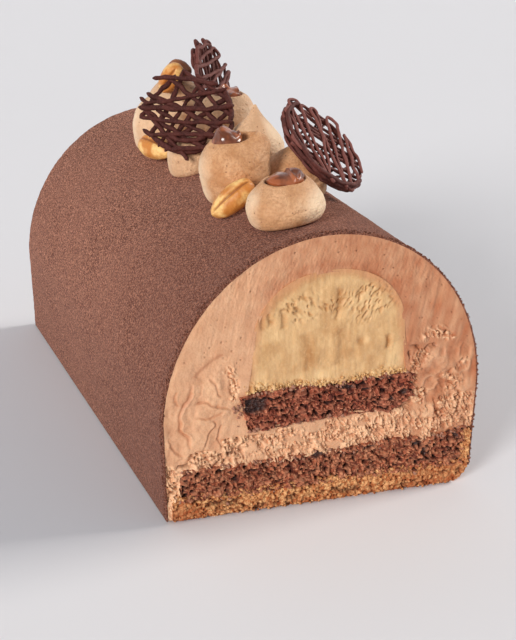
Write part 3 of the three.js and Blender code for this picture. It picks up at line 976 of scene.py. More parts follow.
def make_sponge(name, x, z, shape, seed, back, sink, colours, syrup):
    """One sponge layer with its finish, `sink` behind the mousse; `syrup`
    lists the patches that soaked nearly black."""
    height, hole, glint, lot = sponge_relief(x, z, seed)
    at = on_cut(x, z)
    soaked = np.zeros_like(x)
    for place, size in syrup:
        wavy = 0.6 * soft(at, 1.0, seed + 20)
        soaked = np.maximum(soaked, blob(x + wavy, z + wavy, place, size))
    soaked = step(0.35, 0.75, soaked)
    height = height * (1 - 0.6 * soaked) - 0.25 * soaked
    mesh = mesh_of(name, np.stack([x, FRONT + sink - height, z], -1), grid_quads(*shape))
    for key, values in (("hole", hole * (1 - soaked)), ("glint", glint), ("lot", lot), ("soaked", soaked)):
        note(mesh, key, values)
    give_depth(mesh, lambda x, z: back)
    finish, wire = start_finish(name)
    fine = speckle(wire, 0.40, 3.0, 0.7)
    tone = noted(wire, "lot").between(0.15, 0.85).paint(colours[0], colours[1])
    tone = (fine.between(0.42, 0.60) * 0.6).paint(tone, colours[2])
    # Painted highlight on the glints and painted shade in the holes and low places; the soaked patches are the
    # syrup's own colour.
    tone = (noted(wire, "glint") * 0.7).paint(tone, colours[3])
    tone = (noted(wire, "hole") * 0.85).paint(tone, shade(34, 12, 8))
    tone = (noted(wire, "soaked") * 0.9).paint(tone, shade(42, 26, 24))
    finish_off(wire, tone, 0.72 - noted(wire, "soaked") * 0.42, fine, 0.25, Specular_IOR_Level=0.4)
    piece(name, mesh, finish, [name])


def strip_under(x):
    """Foot of the strip's sponge, which hides a little behind the mousse."""
    line = [(-21, 22.4), (-18.8, 20.9), (-14.3, 21.3), (-8.7, 21.6), (6.5, 22.4), (12.5, 22.2), (17, 21.8),
            (20, 23.4), (22, 25.6)]
    return height_of(line, x) + 0.5 * soft(on_cut(x, 0 * x), 3.4, 61)


def sponge_over(x):
    """Top of the lower sponge, which hides a little behind the mousse."""
    line = [(-35.1, 13.4), (-27, 13.0), (-14, 13.2), (7, 13.6), (12, 14.0), (18, 14.4), (23.5, 14.4),
            (28, 13.2), (33.5, 14.3), (37, 15.4)]
    return height_of(line, x)


strip_low, strip_high = box_mm("sponge_strip")
x, z = slab_face(strip_low[0] - 1.0, strip_high[0] + 1.1, strip_under, lambda x: strip_top(x) + 0.3,
                 64, 300, 2.2)
make_sponge("sponge_strip", x, z, (64, 300), 301, CORE_BACK, 0.25,
            [shade(98, 38, 24), shade(174, 88, 60), shade(68, 24, 15), shade(236, 156, 118)],
            [((-17.8, 27.4), (3.6, 2.7)), ((5.3, 29.5), (2.4, 1.0)), ((-9.0, 30.1), (1.5, 0.5)),
             ((20.0, 26.4), (1.3, 1.1)), ((17.0, 25.0), (0.8, 0.6)), ((10.0, 28.3), (1.6, 0.7))])
sponge_low, sponge_high = box_mm("sponge_lower")
x, z = slab_face(sponge_low[0] - 0.5, sponge_high[0] + 0.6, lambda x: 5.2 + 0 * x, sponge_over, 50, 440)
make_sponge("sponge_lower", x, z, (50, 440), 351, LAYERS_BACK, 0.25,
            [shade(112, 50, 32), shade(188, 104, 70), shade(80, 34, 21), shade(240, 170, 126)],
            [((-20.2, 6.9), (1.0, 0.6)), ((-24.0, 5.8), (1.1, 0.9)), ((-25.3, 12.2), (1.6, 0.8)),
             ((27.0, 9.4), (1.2, 1.4)), ((24.8, 12.2), (1.9, 1.1)), ((35.2, 13.2), (0.9, 1.6)),
             ((-1.5, 12.9), (3.4, 1.1)), ((12.0, 13.0), (1.6, 0.5))])

# %% [markdown]
# ## The biscuit base
#
# A baked, sandy biscuit: golden grains, small dark gaps and cracks that run
# along the layer, darker where it caught more heat at the foot.  Its right
# edge stands up as a lip beside the sponge, so the lip's grid is stacked on
# the slab's last columns.

# %% Base face
BASE_TOP, SLAB_TOP = 6.0, 6.35       # the solid's top, and the slab's with its rough crumb
LIP_X, LIP_COLUMNS = 37.1, 13
slab_x = np.r_[np.linspace(-37.0, LIP_X, 372)[:-1], np.linspace(LIP_X, 39.45, LIP_COLUMNS)]
foot_z = 4.4 * np.clip((slab_x - 34.3) / 5.2, 0, 1) ** 2.2 + 0.9 * np.clip((-36.2 - slab_x) / 0.8, 0, 1) ** 2
slab_foot, slab_top = np.stack([slab_x, foot_z], -1), np.stack([slab_x, 0 * slab_x + SLAB_TOP], -1)
lip_x = slab_x[-LIP_COLUMNS:]
lip_top = np.stack([lip_x, LIP_TOP + 0.1 - 0.5 * ((lip_x - 38.2) / 1.2) ** 2], -1)
face, quads = join_grids(between(slab_foot, slab_top, 34), between(slab_top[-LIP_COLUMNS:], lip_top, 36))
x, z = face.T
dx, dz = torn(x, z, 0.75, 600)
near_lip = step(1.2, 0.0, np.abs(x - LIP_X)) * step(BASE_TOP, BASE_TOP + 1, z)
near_top = step(1.4, 0.0, np.abs(z - SLAB_TOP)) * step(37.2, 36.2, x)
x, z = x + dx * near_lip, np.maximum(z + dz * np.clip(near_top + near_lip, 0, 1), 0.0)

at = on_cut(x, z)
big, _ = seeds(x, z, 1.5, 611, 0.7)
mid, mid_lot = seeds(x, z, 0.75, 612, 0.8)
fine_seed, fine_lot = seeds(x, z, 0.4, 613)
crack = step(0.20, 0.0, np.abs(layered(at, (3.6, 1.2, 1), 614, 2))) * step(-0.1, 0.35, soft(at, (5, 2, 1), 616))
# Gaps and cracks: sunk here, and painted darker as shade in the finish.
hole = np.clip(step(0.5, 0.15, mid) * (mid_lot < 0.15) + 0.9 * crack, 0, 1)
height = 0.68 * (0.6 - big) + 0.66 * (0.6 - mid) + 0.42 * (0.6 - fine_seed) - hole
height += 0.15 * soft(at, 3, 617) - 0.8 * step(1.0, 0.0, z) ** 2
points = np.stack([x, FRONT - height + 0.05, z], -1)
base_mesh = mesh_of("biscuit_base", points, quads)
note(base_mesh, "hole", hole)
note(base_mesh, "lot", mid_lot * 0.6 + fine_lot * 0.4)
baked = step(3.0, 0.2, z) * (0.6 + 0.6 * soft(at, 6, 618))
baked += 0.9 * step(-24, -35, x) * step(5.5, 2.5, z) + 0.65 * step(12, 30, x) * step(8, 6, z)
note(base_mesh, "baked", np.clip(baked, 0, 1))
give_depth(base_mesh, lambda x, z: LAYERS_BACK)

# %% The biscuit's finish
biscuit_finish, wire = start_finish("biscuit")
fine = speckle(wire, 0.4, 3.0, 0.7)
tone = noted(wire, "lot").between(0.15, 0.85).paint(shade(184, 106, 56), shade(252, 196, 134))
tone = (fine.between(0.42, 0.60) * 0.5).paint(tone, shade(164, 84, 42))
tone = (noted(wire, "baked") * 0.62).paint(tone, shade(164, 72, 30))
# Painted shade in the gaps and cracks.
tone = (noted(wire, "hole") * 0.85).paint(tone, shade(78, 32, 16))
finish_off(wire, tone, 0.75, fine, 0.2, Specular_IOR_Level=0.35)
piece("biscuit_base", base_mesh, biscuit_finish, ["biscuit_base"])

# %% [markdown]
# ## Piped kisses
#
# A kiss is piped straight down, so it is a turned form: a profile carried
# round an axis that leans with the log's skin.  A little noise takes the
# lathe look away, and the foot is let down until it meets the arch.  Three
# of them have a cup pressed into the top.

# %% Turned forms
def unit(vectors):
    """The same directions with length one."""
    return vectors / np.linalg.norm(vectors, axis=-1, keepdims=True)


def turned(profile, rows, around):
    """Rings of radius and height about a local axis, as a (rows, around, 3) grid."""
    line = smooth_line(profile, rows)
    turn = np.linspace(0, 2 * math.pi, around, endpoint=False)
    radius, height = np.maximum(line[:, :1], 0), line[:, 1:]
    return np.stack([radius * np.cos(turn), radius * np.sin(turn), height + 0 * turn], -1)


def standing(x):
    """Three directions for a piece on the ridge at x: sideways, along, out."""
    out = unit(unit([x / HALF ** 2, 0, (ridge(x) - SIDE) / ARCH ** 2]) + [0, 0, 1])
    sideways = unit(np.cross([0, 1, 0], out))
    return np.array([sideways, np.cross(out, sideways), out])


def stood(node):
    """Foot, radius and height of a standing kiss, read from its solid.  On
    the front one the praline, not the rim, reaches the solid's full height."""
    low, high = box_mm(node)
    radius = (high[1] - low[1]) / 2
    x = (low[0] + high[0]) / 2
    height = (high[2] - ridge(x)) / standing(x)[2, 2]
    foot = np.array([x, (low[1] + high[1]) / 2]) - standing(x)[2, :2] * height * 0.35
    return np.array([*foot, ridge(foot[0])]), radius, height * (0.90 if node == "kiss_front" else 1.0)


FORMS = {  # profiles as shares of a kiss's radius and height
    "squat": [(0, 0.0), (0.4, 0.0), (0.66, 0.01), (0.85, 0.08), (0.97, 0.23), (1, 0.36), (0.965, 0.50),
              (0.88, 0.65), (0.76, 0.80), (0.65, 0.91), (0.575, 0.985), (0.53, 1.0), (0.49, 0.96), (0.46, 0.88),
              (0.30, 0.80), (0, 0.78)],
    "round": [(0, 0.0), (0.35, 0.0), (0.62, 0.02), (0.83, 0.12), (0.97, 0.31), (1, 0.47), (0.96, 0.64),
              (0.85, 0.80), (0.71, 0.92), (0.59, 0.985), (0.52, 1.0), (0.47, 0.97), (0.43, 0.90), (0.30, 0.84),
              (0, 0.82)],
    "drop": [(0, -0.04), (0.5, -0.04), (0.75, 0.00), (0.89, 0.11), (0.94, 0.25), (0.88, 0.41), (0.70, 0.56),
             (0.48, 0.69), (0.30, 0.79), (0.17, 0.89), (0.08, 0.98), (0.03, 1.02), (0, 1.03)],
    "cone": [(0, -0.04), (0.6, -0.04), (0.90, 0.00), (1, 0.11), (0.97, 0.25), (0.86, 0.44), (0.68, 0.62),
             (0.46, 0.79), (0.25, 0.92), (0.09, 0.99), (0, 1.01)],
    "dome": [(0, -0.05), (0.5, -0.05), (0.80, 0.00), (0.95, 0.13), (1, 0.32), (0.97, 0.5), (0.85, 0.68),
             (0.65, 0.84), (0.40, 0.94), (0.18, 0.99), (0, 1.0)],
}
KISS_GRID = (84, 112)    # points up and round a kiss

# %% Kiss finish
kiss_finish, wire = start_finish("kiss")
fine = speckle(wire, 0.6, 3.0, 0.6)
wave = speckle(wire, 5.0, 2.0, w=2.0)
tone = wave.between(0.36, 0.64).paint(shade(222, 170, 124), shade(202, 146, 98))
tone = (speckle(wire, 1.1, 3.0, 0.65, w=6.0).between(0.46, 0.66) * 0.26).paint(tone, shade(166, 108, 68))
tone = (fine.between(0.44, 0.60) * 0.40).paint(tone, shade(180, 122, 80))
# Painted highlight on the sides the lights fall on, and painted light over whole kisses.
tone = (noted(wire, "pale") * 0.8).paint(tone, shade(255, 226, 190))
tone = (dots(wire, 1.4, 0.34, 0.19) * 0.7).paint(tone, shade(134, 82, 48))
finish_off(wire, tone, 0.58, fine, 0.34, Subsurface_Weight=0.05, Subsurface_Scale=0.002,
           Subsurface_Radius=(1.0, 0.55, 0.3), Specular_IOR_Level=0.35, Sheen_Weight=0.12, Sheen_Roughness=0.45,
           Sheen_Tint=shade(255, 232, 205))


# %% Pipe the kisses
def pipe_kiss(node, form, seed, droop, tilt, lobe, pale, lit_sides):
    """One kiss on the ridge, as tall and wide as its solid.  `droop` pushes
    the tip sideways, `tilt` lifts one side of the rim, `lobe` makes a rounded
    shoulder there, `pale` lightens the whole kiss as painted light, and the
    last argument lightens its two sides as a painted highlight where the
    lights fall on them."""
    foot, radius, height = stood(node)
    axes = standing(foot[0])
    flat = turned(np.array(FORMS[form]) * [radius, height], *KISS_GRID).reshape(-1, 3)
    wobble = 1 + 0.04 * layered(flat + 40 * seed, radius * 0.9, 700 + seed, 2)
    flat[:, :2] *= wobble[:, None]
    swell = 0.25 * layered(flat + 9 * seed, radius * 0.6, 720 + seed, 2)
    flat[:, 2] += swell * step(0.5, 1.0, flat[:, 2] / height)
    high = flat[:, 2] / height
    facing = np.exp(-((np.arctan2(flat[:, 1] + 2.0, flat[:, 0]) + 0.1) / 0.7) ** 2)
    turn = np.arctan2(flat[:, 1], flat[:, 0]) + 0.3 * layered(flat + 7 * seed, radius * 0.5, 790 + seed, 2)
    # Painted highlight: the kiss is lightened on the two sides that face the lights, and all over by pale as
    # painted light.
    flank = lit_sides[0] * step(0.55, 1.0, np.cos(turn - 2.7)) + lit_sides[1] * step(0.35, 1.0, np.cos(turn + 0.45))
    flank = np.clip(pale + flank * step(0.95, 0.6, high) * step(-0.05, 0.15, high), 0, 1)
    flat += np.outer(lobe * facing * step(0.5, 0.9, high), [1.0, 0.0, 0.3])
    flat[:, 0] += droop * step(0.6, 1.0, high) ** 2
    lifted = tilt * flat[:, 0] + 0.25 * soft(flat + 5 * seed, radius * 0.5, 740 + seed)
    flat[:, 2] += lifted * step(0.62, 0.95, high)
    crease = np.abs(layered(flat * [1, 1, 2.2] + 13 * seed, radius * 0.45, 760 + seed, 2))
    rough = 0.03 * step(0.10, 0.0, crease) - 0.02 * layered(flat + 3 * seed, 1.6, 780 + seed, 2)
    flat[:, :2] *= (1 - rough * step(0.05, 0.3, high))[:, None]
    placed, under = foot + flat @ axes, foot + flat[:, :2] @ axes[:2]
    placed[:, 2] += (1 - step(0.0, 0.4, high)) * (ridge(placed[:, 0]) - under[:, 2] - 0.1)
    mesh = mesh_of(node, placed, grid_quads(*KISS_GRID, closed=True))
    note(mesh, "pale", flank)
    piece(node, tidy(mesh), kiss_finish, [node])


# The last two columns are painted light: the fourth lightens the whole kiss, the fifth its two sides where the
# lights fall.
for seed, (node, form, *shape) in enumerate([  # droop, tilt, lobe, pale, dried
        ("kiss_front", "squat", 0.0, 0.05, 0.0, 0.08, (0.75, 1.0)),
        ("kiss_round", "round", 0.0, 0.04, 2.1, 0.0, (0.95, 0.1)),
        ("kiss_peak", "drop", -0.8, 0.0, 0.0, 0.35, (0.0, 0.7)),
        ("kiss_leaned", "cone", 0.3, 0.0, 0.0, 0.0, (0.2, 0.0)),
        ("kiss_low", "dome", 0.0, 0.0, 0.0, 0.3, (0.4, 0.2)),
        ("kiss_left", "dome", 0.4, 0.0, 0.0, 0.5, (0.5, 0.0)),
        ("kiss_tall", "round", 0.0, 0.05, 0.0, 0.4, (0.2, 0.6)),
        ("kiss_rear", "dome", 0.0, 0.0, 0.0, 0.3, (0.3, 0.3))]):
    pipe_kiss(node, form, seed, *shape)

# %% [markdown]
# ## Praline pools
#
# Nut praline is thick and glossy.  It fills the cup, swells above the rim,
# and keeps the folds in which it was spooned.

# %% Praline
praline_finish, wire = start_finish("praline")
swirl = speckle(wire, 3.2, 2.0, 0.5, stretch=(1, 1, 2.2))
tone = swirl.between(0.42, 0.58).paint(shade(108, 56, 32), shade(166, 92, 54))
tone = (speckle(wire, 3.4, 1.0, w=5.0).between(0.52, 0.62) * 0.2).paint(tone, shade(186, 120, 88))
finish_off(wire, tone, 0.28, swirl, 0.1, Coat_Weight=0.3, Coat_Roughness=0.15, Specular_IOR_Level=0.45)


def spoon_praline(node, kiss, swell, width, shift, seed):
    """A pool with a swollen, folded top in a kiss's cup: folds are the crests
    of a warped noise that is long one way."""
    foot, radius, height = stood(kiss)
    edge = width * radius
    profile = [(0, height * 0.82), (0.7 * edge, height - 1.4), (0.95 * edge, height - 0.6),
               (edge, height - 0.05), (0.90 * edge, height + 0.50 * swell),
               (0.58 * edge, height + 0.88 * swell), (0, height + swell)]
    flat = turned(profile, 70, 112).reshape(-1, 3)
    top = step(height - 0.4, height + 0.6, flat[:, 2])
    warp = flat + 0.9 * on_cut(soft(flat, 2.4, 801 + seed), soft(flat, 2.4, 805 + seed))
    crest = crests(warp, (2.6, 5.0, 4), 811 + seed, 2.0)
    flat[:, 2] += top * (1.1 * crest - 0.5 + 0.4 * soft(flat, 2.6, 815 + seed))
    flat[:, :2] *= (1 + 0.10 * top * soft(flat, 2.2, 818 + seed))[:, None]
    flat[:, 0] += shift
    mesh = mesh_of(node, foot + flat @ standing(foot[0]), grid_quads(70, 112, closed=True))
    piece(node, tidy(mesh), praline_finish, [node])


for seed, (place, *shape) in enumerate([
        ("front", 1.9, 0.48, 0.1), ("round", 2.5, 0.42, -1.3), ("tall", 1.6, 0.46, 0.0)]):
    spoon_praline(f"praline_{place}", f"kiss_{place}", *shape, seed)

# %% [markdown]
# ## Peanuts
#
# A blanched kernel is two halves pressed together: an oval body, blunt at one
# end and pointed at the germ, with a groove where the halves meet.

# %% Peanut kernels
peanut_finish, wire = start_finish("peanut")
fine = speckle(wire, 0.8, 3.0, 0.6)
roast = speckle(wire, 4.0, 2.0, w=4.0)
tone = roast.between(0.40, 0.60).paint(shade(250, 204, 130), shade(208, 134, 62))
tone = (fine.between(0.44, 0.62) * 0.35).paint(tone, shade(196, 122, 58))
# Painted shade along the groove between the halves.
tone = (noted(wire, "groove").between(0.2, 1.0) * 0.8).paint(tone, shade(150, 86, 40))
finish_off(wire, tone, 0.45, fine, 0.16, Subsurface_Weight=0.10, Subsurface_Scale=0.002,
           Subsurface_Radius=(1.0, 0.6, 0.25), Specular_IOR_Level=0.4)


def kernel(node, along, towards, half, radius, finish, slot, seed, groove_depth, point, rough):
    """An oval turned about `along`, grooved on the side that faces `towards`.
    `point` draws one end in, and `rough` is the size of its dents."""
    middle = sum(box_mm(node)) / 2
    along = unit(along)
    out = unit(towards - np.dot(towards, along) * along)
    side = np.cross(along, out)
    t = np.linspace(0, math.pi, 72)[:, None]
    turn = np.linspace(-math.pi, math.pi, 96, endpoint=False)[None, :]
    body = radius * np.sin(t) ** (0.80 + 1.2 * point * (1 + np.cos(t))) * (1 - point * np.cos(t))
    groove = np.exp(-(turn / 0.19) ** 2) * step(0.2, 0.9, t) * step(3.1, 2.5, t)
    cheeks = 1 + 0.06 * np.cos(2 * turn - math.pi)
    width = body * cheeks * (1 - groove_depth * groove)
    centre = -half * np.cos(t) + 0 * turn      # the pointed germ end comes first
    spread = np.stack([centre, width * np.cos(turn), width * np.sin(turn) * 0.94], -1)
    away = spread.reshape(-1, 3) @ np.array([along, out, side])
    away *= (1 + rough * layered(middle + away, radius * 0.8, 900 + seed, 3, 0.6))[:, None]
    mesh = mesh_of(node, middle + away, grid_quads(72, 96, closed=True))
    note(mesh, "groove", groove.ravel())
    piece(node, tidy(mesh), finish, [node])


for place, *lie, seed, groove_depth, point, rough in [
        ("front", (0.71, -0.19, 0.68), (-0.9, -0.9, 0.9), 6.2, 3.15, 1, 0.32, 0.10, 0.07),
        ("low", (-0.35, 0.9, 0.05), (-0.5, -0.5, 1.0), 6.2, 3.1, 2, 0.24, 0.2, 0.05),
        ("high", (0.2, -0.6, 0.75), (-0.6, -1.0, 0.2), 5.8, 3.0, 3, 0.24, 0.18, 0.05)]:
    kernel(f"peanut_{place}", *lie, peanut_finish, "peanut", seed, groove_depth, point, rough)

# %% The brown nut piece
nut_finish, wire = start_finish("nut_skin")
fine = speckle(wire, 0.5, 3.0, 0.65)
tone = speckle(wire, 2.0, 2.0).between(0.35, 0.68).paint(shade(132, 80, 52), shade(158, 104, 72))
tone = (fine.between(0.45, 0.72) * 0.4).paint(tone, shade(104, 58, 36))
finish_off(wire, tone, 0.55, fine, 0.12, Specular_IOR_Level=0.4)
kernel("nut_piece", (0.8, 0, -0.4), (0.2, -1.0, 0.3), 3.6, 2.8, nut_finish, "nut_skin", 4, 0.0, 0.0, 0.16)

# %% [markdown]
# ## Lattice discs
#
# Each disc is piped thread on thread: lines at three angles, each layer on the
# last, and short arcs round the rim.  On the left disc every line keeps its
# two cut ends; on the other two a layer is one zigzag with loops at the rim.
# A thread is a smooth path with a round section carried along it, a little
# thicker and thinner as a hand pipes it.

# %% Threads
SIDES = 9                # corners of a thread's section


def thread(path, radius, facing):
    """A round section carried along a path that lies near a plane: one side
    direction is across the path in the plane, the other is the plane's own."""
    ahead = unit(np.gradient(path, axis=0))
    across = unit(np.cross(ahead, facing))
    over = np.cross(across, ahead)
    turn = np.linspace(0, 2 * math.pi, SIDES, endpoint=False)[None, :, None]
    ring = across[:, None] * np.cos(turn) + over[:, None] * np.sin(turn)
    return path[:, None] + ring * np.asarray(radius)[:, None, None]


def chords(rim, pitch, rng, joined):
    """Hand-drawn lines across a circle, as points in its plane, at uneven
    steps and each a little turned and bowed.  Joined, they are one zigzag with
    loops at the rim; otherwise each line keeps its two cut ends."""
    offset, lines, way = -rim + pitch * rng.uniform(0.3, 0.6), [], 1
    short, long = (-0.9, 0.2) if joined else (-0.8, 0.4)
    while offset < rim - 0.2 * pitch:
        reach = math.sqrt(rim ** 2 - offset ** 2) + rng.uniform(short, long)
        slope, bow = rng.uniform(-0.22, 0.22), rng.uniform(-0.9, 0.9)
        a = np.linspace(-reach, reach, 5) * way
        lines.append(np.stack([a, offset + slope * a + bow * (1 - (a / reach) ** 2)], -1))
        offset += pitch * rng.uniform(0.6, 1.4)
        way = -way if joined else way
    if joined:
        return [smooth_line(np.concatenate(lines), len(lines) * 55)]
    return [smooth_line(line, max(14, int(5 * abs(line[0, 0])))) for line in lines]


chocolate_finish, wire = start_finish("chocolate")
fine = speckle(wire, 0.45, 3.0, 0.6)
tone = speckle(wire, 3.0, 2.0).between(0.40, 0.62).paint(shade(66, 27, 22), shade(84, 38, 31))
tone = (fine.between(0.46, 0.60) * 0.4).paint(tone, shade(108, 60, 52))
# Painted highlight on the front layers; the layers behind stay darker as painted shade.
tone = (noted(wire, "front_highlight") * (fine * 0.5 + 0.5)).paint(tone, shade(152, 94, 85))
finish_off(wire, tone, 0.72, fine, 0.16, Specular_IOR_Level=0.3)


def pipe_disc(node, facing, radius, strand, layers, arcs, front_highlight, seed):
    """One lattice disc.  Each layer gives the turn and pitch of its lines and
    whether they are joined; each arc gives its height, how far it lies inside
    the rim, and its first and last turn in half circles.  The front layers are
    made paler by the number before `seed`, a painted highlight that is less on
    each layer behind, so the deeper layers stay darker as painted shade."""
    middle = sum(box_mm(node)) / 2
    rng = np.random.default_rng(seed)
    facing = unit(facing)
    first = unit(np.cross([0, 0, 1], facing))
    second = np.cross(facing, first)
    rim = radius - strand - 0.5
    tubes, pale = [], []

    def lay(a, b, lift, thick, highlighted):
        path = middle + np.outer(a, first) + np.outer(b, second)
        number = seed + len(tubes)
        sway = [0.6 * layered(path, 3.0, number + more, 2, 0.6) for more in (500, 0)]
        path += np.outer(sway[0], first) + np.outer(sway[1], second)
        path += np.outer(lift + 0.18 * soft(path, 2.5, number + 700), facing)
        steps = np.arange(len(path))
        tip = np.clip(np.minimum(steps, steps[::-1]) / 2, 0.04, 1) ** 0.5
        tubes.append(thread(path, thick * tip * (1 + 0.3 * layered(path, 1.8, number + 900, 2)), facing))
        pale.append(np.full(len(path) * SIDES, highlighted))

    for depth, (turn, pitch, joined) in enumerate(layers):
        lift = 0.8 - 1.6 * depth / max(1, len(layers) - 1)
        for line in chords(rim, pitch, rng, joined):
            a = line[:, 0] * math.cos(turn) - line[:, 1] * math.sin(turn)
            b = line[:, 0] * math.sin(turn) + line[:, 1] * math.cos(turn)
            lay(a, b, lift, strand * rng.uniform(0.85, 1.2), front_highlight * max(0.0, 1 - 0.3 * depth))
    for lift, inward, start, stop in arcs:
        turn = np.linspace(start * math.pi, stop * math.pi, 120)
        reach = rim - inward
        lay(reach * np.cos(turn), reach * np.sin(turn), lift, 0.2 + 0.9 * strand, front_highlight * 0.15)
    quads, caps, start = [], [], 0
    for tube in tubes:
        quads.append(grid_quads(len(tube), SIDES, start, True))
        caps += [start + np.arange(SIDES)[::-1], start + (len(tube) - 1) * SIDES + np.arange(SIDES)]
        start += len(tube) * SIDES
    mesh = mesh_of(node, np.concatenate([tube.reshape(-1, 3) for tube in tubes]), np.concatenate(quads), caps)
    note(mesh, "front_highlight", np.concatenate(pale))
    piece(node, tidy(mesh), chocolate_finish, [node])


# The number before the seed is each disc's painted highlight: none on the left disc, which stands in shade,
# most on the right disc, which the key light falls on.
pipe_disc("lattice_left", (-0.263, -0.695, 0.669), 13.1, 0.60,
          [(0.10, 3.2, False), (2.45, 3.6, False), (1.0, 3.6, False)],
          [(-0.3, 1.0, 1.2, 1.8), (0.2, 3.6, 1.3, 1.75), (0.0, 0.7, -0.05, 0.2)], 0.0, 1003)
pipe_disc("lattice_upright", (0.75, -0.567, 0.348), 13.3, 0.46,
          [(0.15, 2.3, True), (1.15, 2.9, True), (2.1, 2.9, True)],
          [(0.2, 0.3, 0.7, 1.5)], 0.5, 1100)
pipe_disc("lattice_right", (0.504, -0.479, 0.719), 13.8, 0.38,
          [(0.87, 2.3, True), (2.27, 2.3, True), (0.1, 3.2, True)],
          [(0.9, 0.4, 0.42, 1.58), (0.0, 0.1, 0.40, 1.62), (-0.9, 0.3, 0.45, 1.6)], 0.85, 1200)

# %% [markdown]
# ## Crumbs and grains
#
# A knife leaves loose crumbs along every line where two layers meet, and the
# sprayed coat breaks into single frozen drops along its cut edge.  Each kind
# is one piece: the same small closed lump, made lumpy by three waves of its
# own, once for every place.

# %% Scatter lumps
def scatter(name, places, sizes, finish, seed, divisions=2, notes=()):
    """Closed lumps at (n, 3) places in millimetres with the given radii.
    Each note is a name and the range that a lump's own number is drawn from."""
    bm = bmesh.new()
    bmesh.ops.create_icosphere(bm, subdivisions=divisions, radius=1.0)
    ball = np.array([v.co for v in bm.verts])
    faces = np.array([[v.index for v in f.verts] for f in bm.faces])
    bm.free()
    rng = np.random.default_rng(seed)
    count = len(places)
    waves = rng.normal(0, 1.6, (count, 3, 3))
    phase = rng.uniform(0, 6.28, (count, 3, 1))
    lump = 1 + 0.16 * np.sin(waves @ ball.T + phase).sum(1)
    squash = rng.uniform(0.7, 1.25, (count, 1, 3))
    points = places[:, None] + ball[None] * (lump * np.asarray(sizes)[:, None])[..., None] * squash
    quads = faces[None] + np.arange(count)[:, None, None] * len(ball)
    mesh = mesh_of(name, points.reshape(-1, 3), quads.reshape(-1, 3))
    for key, low, high in notes:
        note(mesh, key, np.repeat(rng.uniform(low, high, count), len(ball)))
    piece(name, mesh, finish, [])


def along_line(rng, count, line, spread, up=0.0):
    """Random places on the cut near a line given as (x, z) points."""
    line = np.asarray(line, float)
    x = rng.uniform(line[0, 0], line[-1, 0], count)
    z = np.interp(x, line[:, 0], line[:, 1]) + up + rng.normal(0, spread, count)
    return np.stack([x, FRONT - rng.uniform(-0.1, 0.35, count), z], -1)


# %% Loose crumbs
rng = np.random.default_rng(41)
strip_line = [(x, strip_top(x)) for x in np.linspace(-20.5, 20.8, 12)]
places = np.concatenate([
    along_line(rng, 60, strip_line, 0.35, 0.15),
    along_line(rng, 34, strip_foot[::25], 0.45, -0.1),
    along_line(rng, 100, [(-35, 12.6), (-27, 12.3), (-14, 12.4), (7, 12.8), (18, 13.5), (28, 12.4), (36, 14.5)],
               0.5, 0.25),
    along_line(rng, 16, [(-23.3, 24.0), (-20.6, 28.5)], 1.3),
    along_line(rng, 14, [(-36, 5.0), (37, 5.4)], 1.2),
])
strip_finish = bpy.data.materials["sponge_strip"]
scatter("dark_crumbs", places, rng.uniform(0.16, 0.46, len(places)), strip_finish, 42,
        notes=[("lot", 0, 1), ("glint", 0, 0.4), ("hole", 0, 0.5)])
places = np.concatenate([
    along_line(rng, 80, [(-36.5, 3.0), (38.0, 3.6)], 1.6),
    along_line(rng, 40, [(-36.8, 0.7), (34.0, 0.6)], 0.25),
    along_line(rng, 20, [(37.3, 10.0), (39.0, 10.0)], 2.4),
])
places[:, 2] = np.clip(places[:, 2], 0.35, LIP_TOP)
scatter("golden_crumbs", places, rng.uniform(0.12, 0.34, len(places)), biscuit_finish, 43,
        notes=[("lot", 0.2, 1), ("baked", 0, 0.8)])
x, z = rng.uniform(-36, 38, 4000), rng.uniform(12.5, 42, 4000)
keep = (torn_zone(x, z) > 0.5) & ((z < strip_top(x) - 8.6) | (np.abs(x) > 22.3)) & (z > 14.8)
x, z = x[keep][:190], z[keep][:190]
places = np.stack([x, FRONT - rng.uniform(-0.1, 0.3, len(x)), z], -1)
scatter("pale_crumbs", places, rng.uniform(0.12, 0.5, len(places)) ** 1.2, mousse_finish, 44,
        notes=[("dark", -0.9, 0.4)])
places = along_line(rng, 110, strip_line, 0.55, 1.0)
scatter("cream_crumbs", places, rng.uniform(0.14, 0.36, len(places)), cream_finish, 45,
        notes=[("dark", -0.9, 0.6), ("pit", 0, 0.8)])

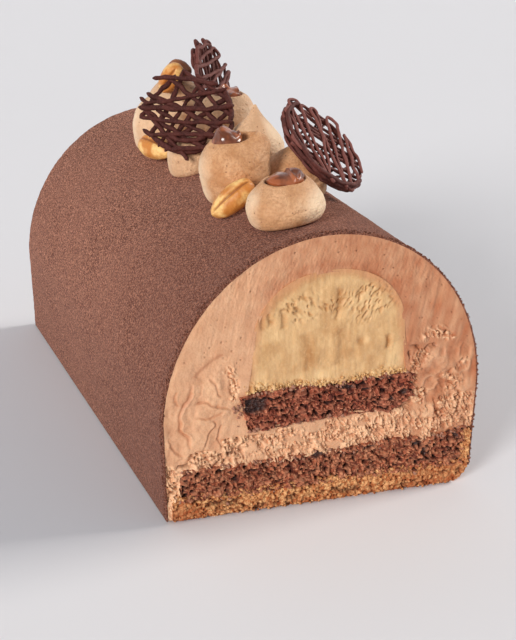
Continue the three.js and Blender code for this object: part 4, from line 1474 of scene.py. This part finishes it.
# %% Frozen drops on the cut edge of the coat
DROPS = 1500
edge = skin_path(4000, 0.8)
pick = rng.integers(0, len(edge), DROPS)
strip = np.stack([np.insert(edge, 1, y, axis=1) for y in (0.0, 0.1)])
out = grid_normals(strip)[0]
places = np.insert(edge[pick], 1, FRONT + rng.uniform(0.0, 1.8, DROPS), axis=1)
places = places + out[pick] * rng.uniform(0.15, 0.55, DROPS)[:, None]
places = places[(places[:, 0] < 0) | (places[:, 2] > FOOT_RIGHT + 0.6)]
scatter("coat_drops", places, rng.uniform(0.12, 0.30, len(places)), velvet, 46, divisions=1)

# %% [markdown]
# ## Floor and light
#
# The cake stands on a plain pale floor that meets a pale backdrop in a soft
# bend.  A broad soft light fills from the front left, and a warmer one comes
# from the right, which gives the kisses their bright sides.

# %% Floor
def sweep_floor(size, rise):
    """A floor that bends up into a backdrop: flat, a quarter turn, then upright."""
    turn = np.linspace(0, math.pi / 2, 24)
    y = np.r_[-size, size * 0.8, size * 0.8 + rise * np.sin(turn), size * 0.8 + rise]
    z = np.r_[0, 0, rise * (1 - np.cos(turn)), rise + size]
    x = np.linspace(-size * 1.5, size * 1.5, 3)
    grid = np.stack(np.broadcast_arrays(x[None, :], y[:, None], z[:, None]), -1)
    return mesh_of("floor", grid.reshape(-1, 3), grid_quads(*grid.shape[:2]))


floor_mesh = sweep_floor(5000.0, 900.0)
floor = add("floor", floor_mesh)
floor_finish, wire = start_finish("floor")
finish_off(wire, shade(225, 225, 228), 0.8)
floor_mesh.materials.append(floor_finish)
floor_mesh.shade_smooth()

# %% Lights
def soft_sun(name, place, strength, spread, colour):
    """Even light that comes from the side of `place` and is `spread` degrees wide."""
    lamp = bpy.data.lights.new(name, "SUN")
    lamp.energy, lamp.angle, lamp.color = strength, math.radians(spread), colour
    out = unit(place)
    side = unit(np.cross([0, 0, 1], out))
    aim(add(name, lamp), side, np.cross(out, side), out, place)


soft_sun("fill", (-0.75, -0.60, 0.36), 2.52, 18, (1.0, 0.98, 0.96))
soft_sun("key", (0.92, 0.06, 0.52), 2.3, 18, (1.0, 0.96, 0.90))
world = bpy.data.worlds.new("studio")
world.use_nodes = True
sky = world.node_tree.nodes["Background"].inputs
sky["Color"].default_value, sky["Strength"].default_value = shade(238, 240, 248), 0.32
bpy.context.scene.world = world
bpy.context.scene.view_settings.view_transform = "Standard"

# %% Update the scene
bpy.context.view_layer.update()
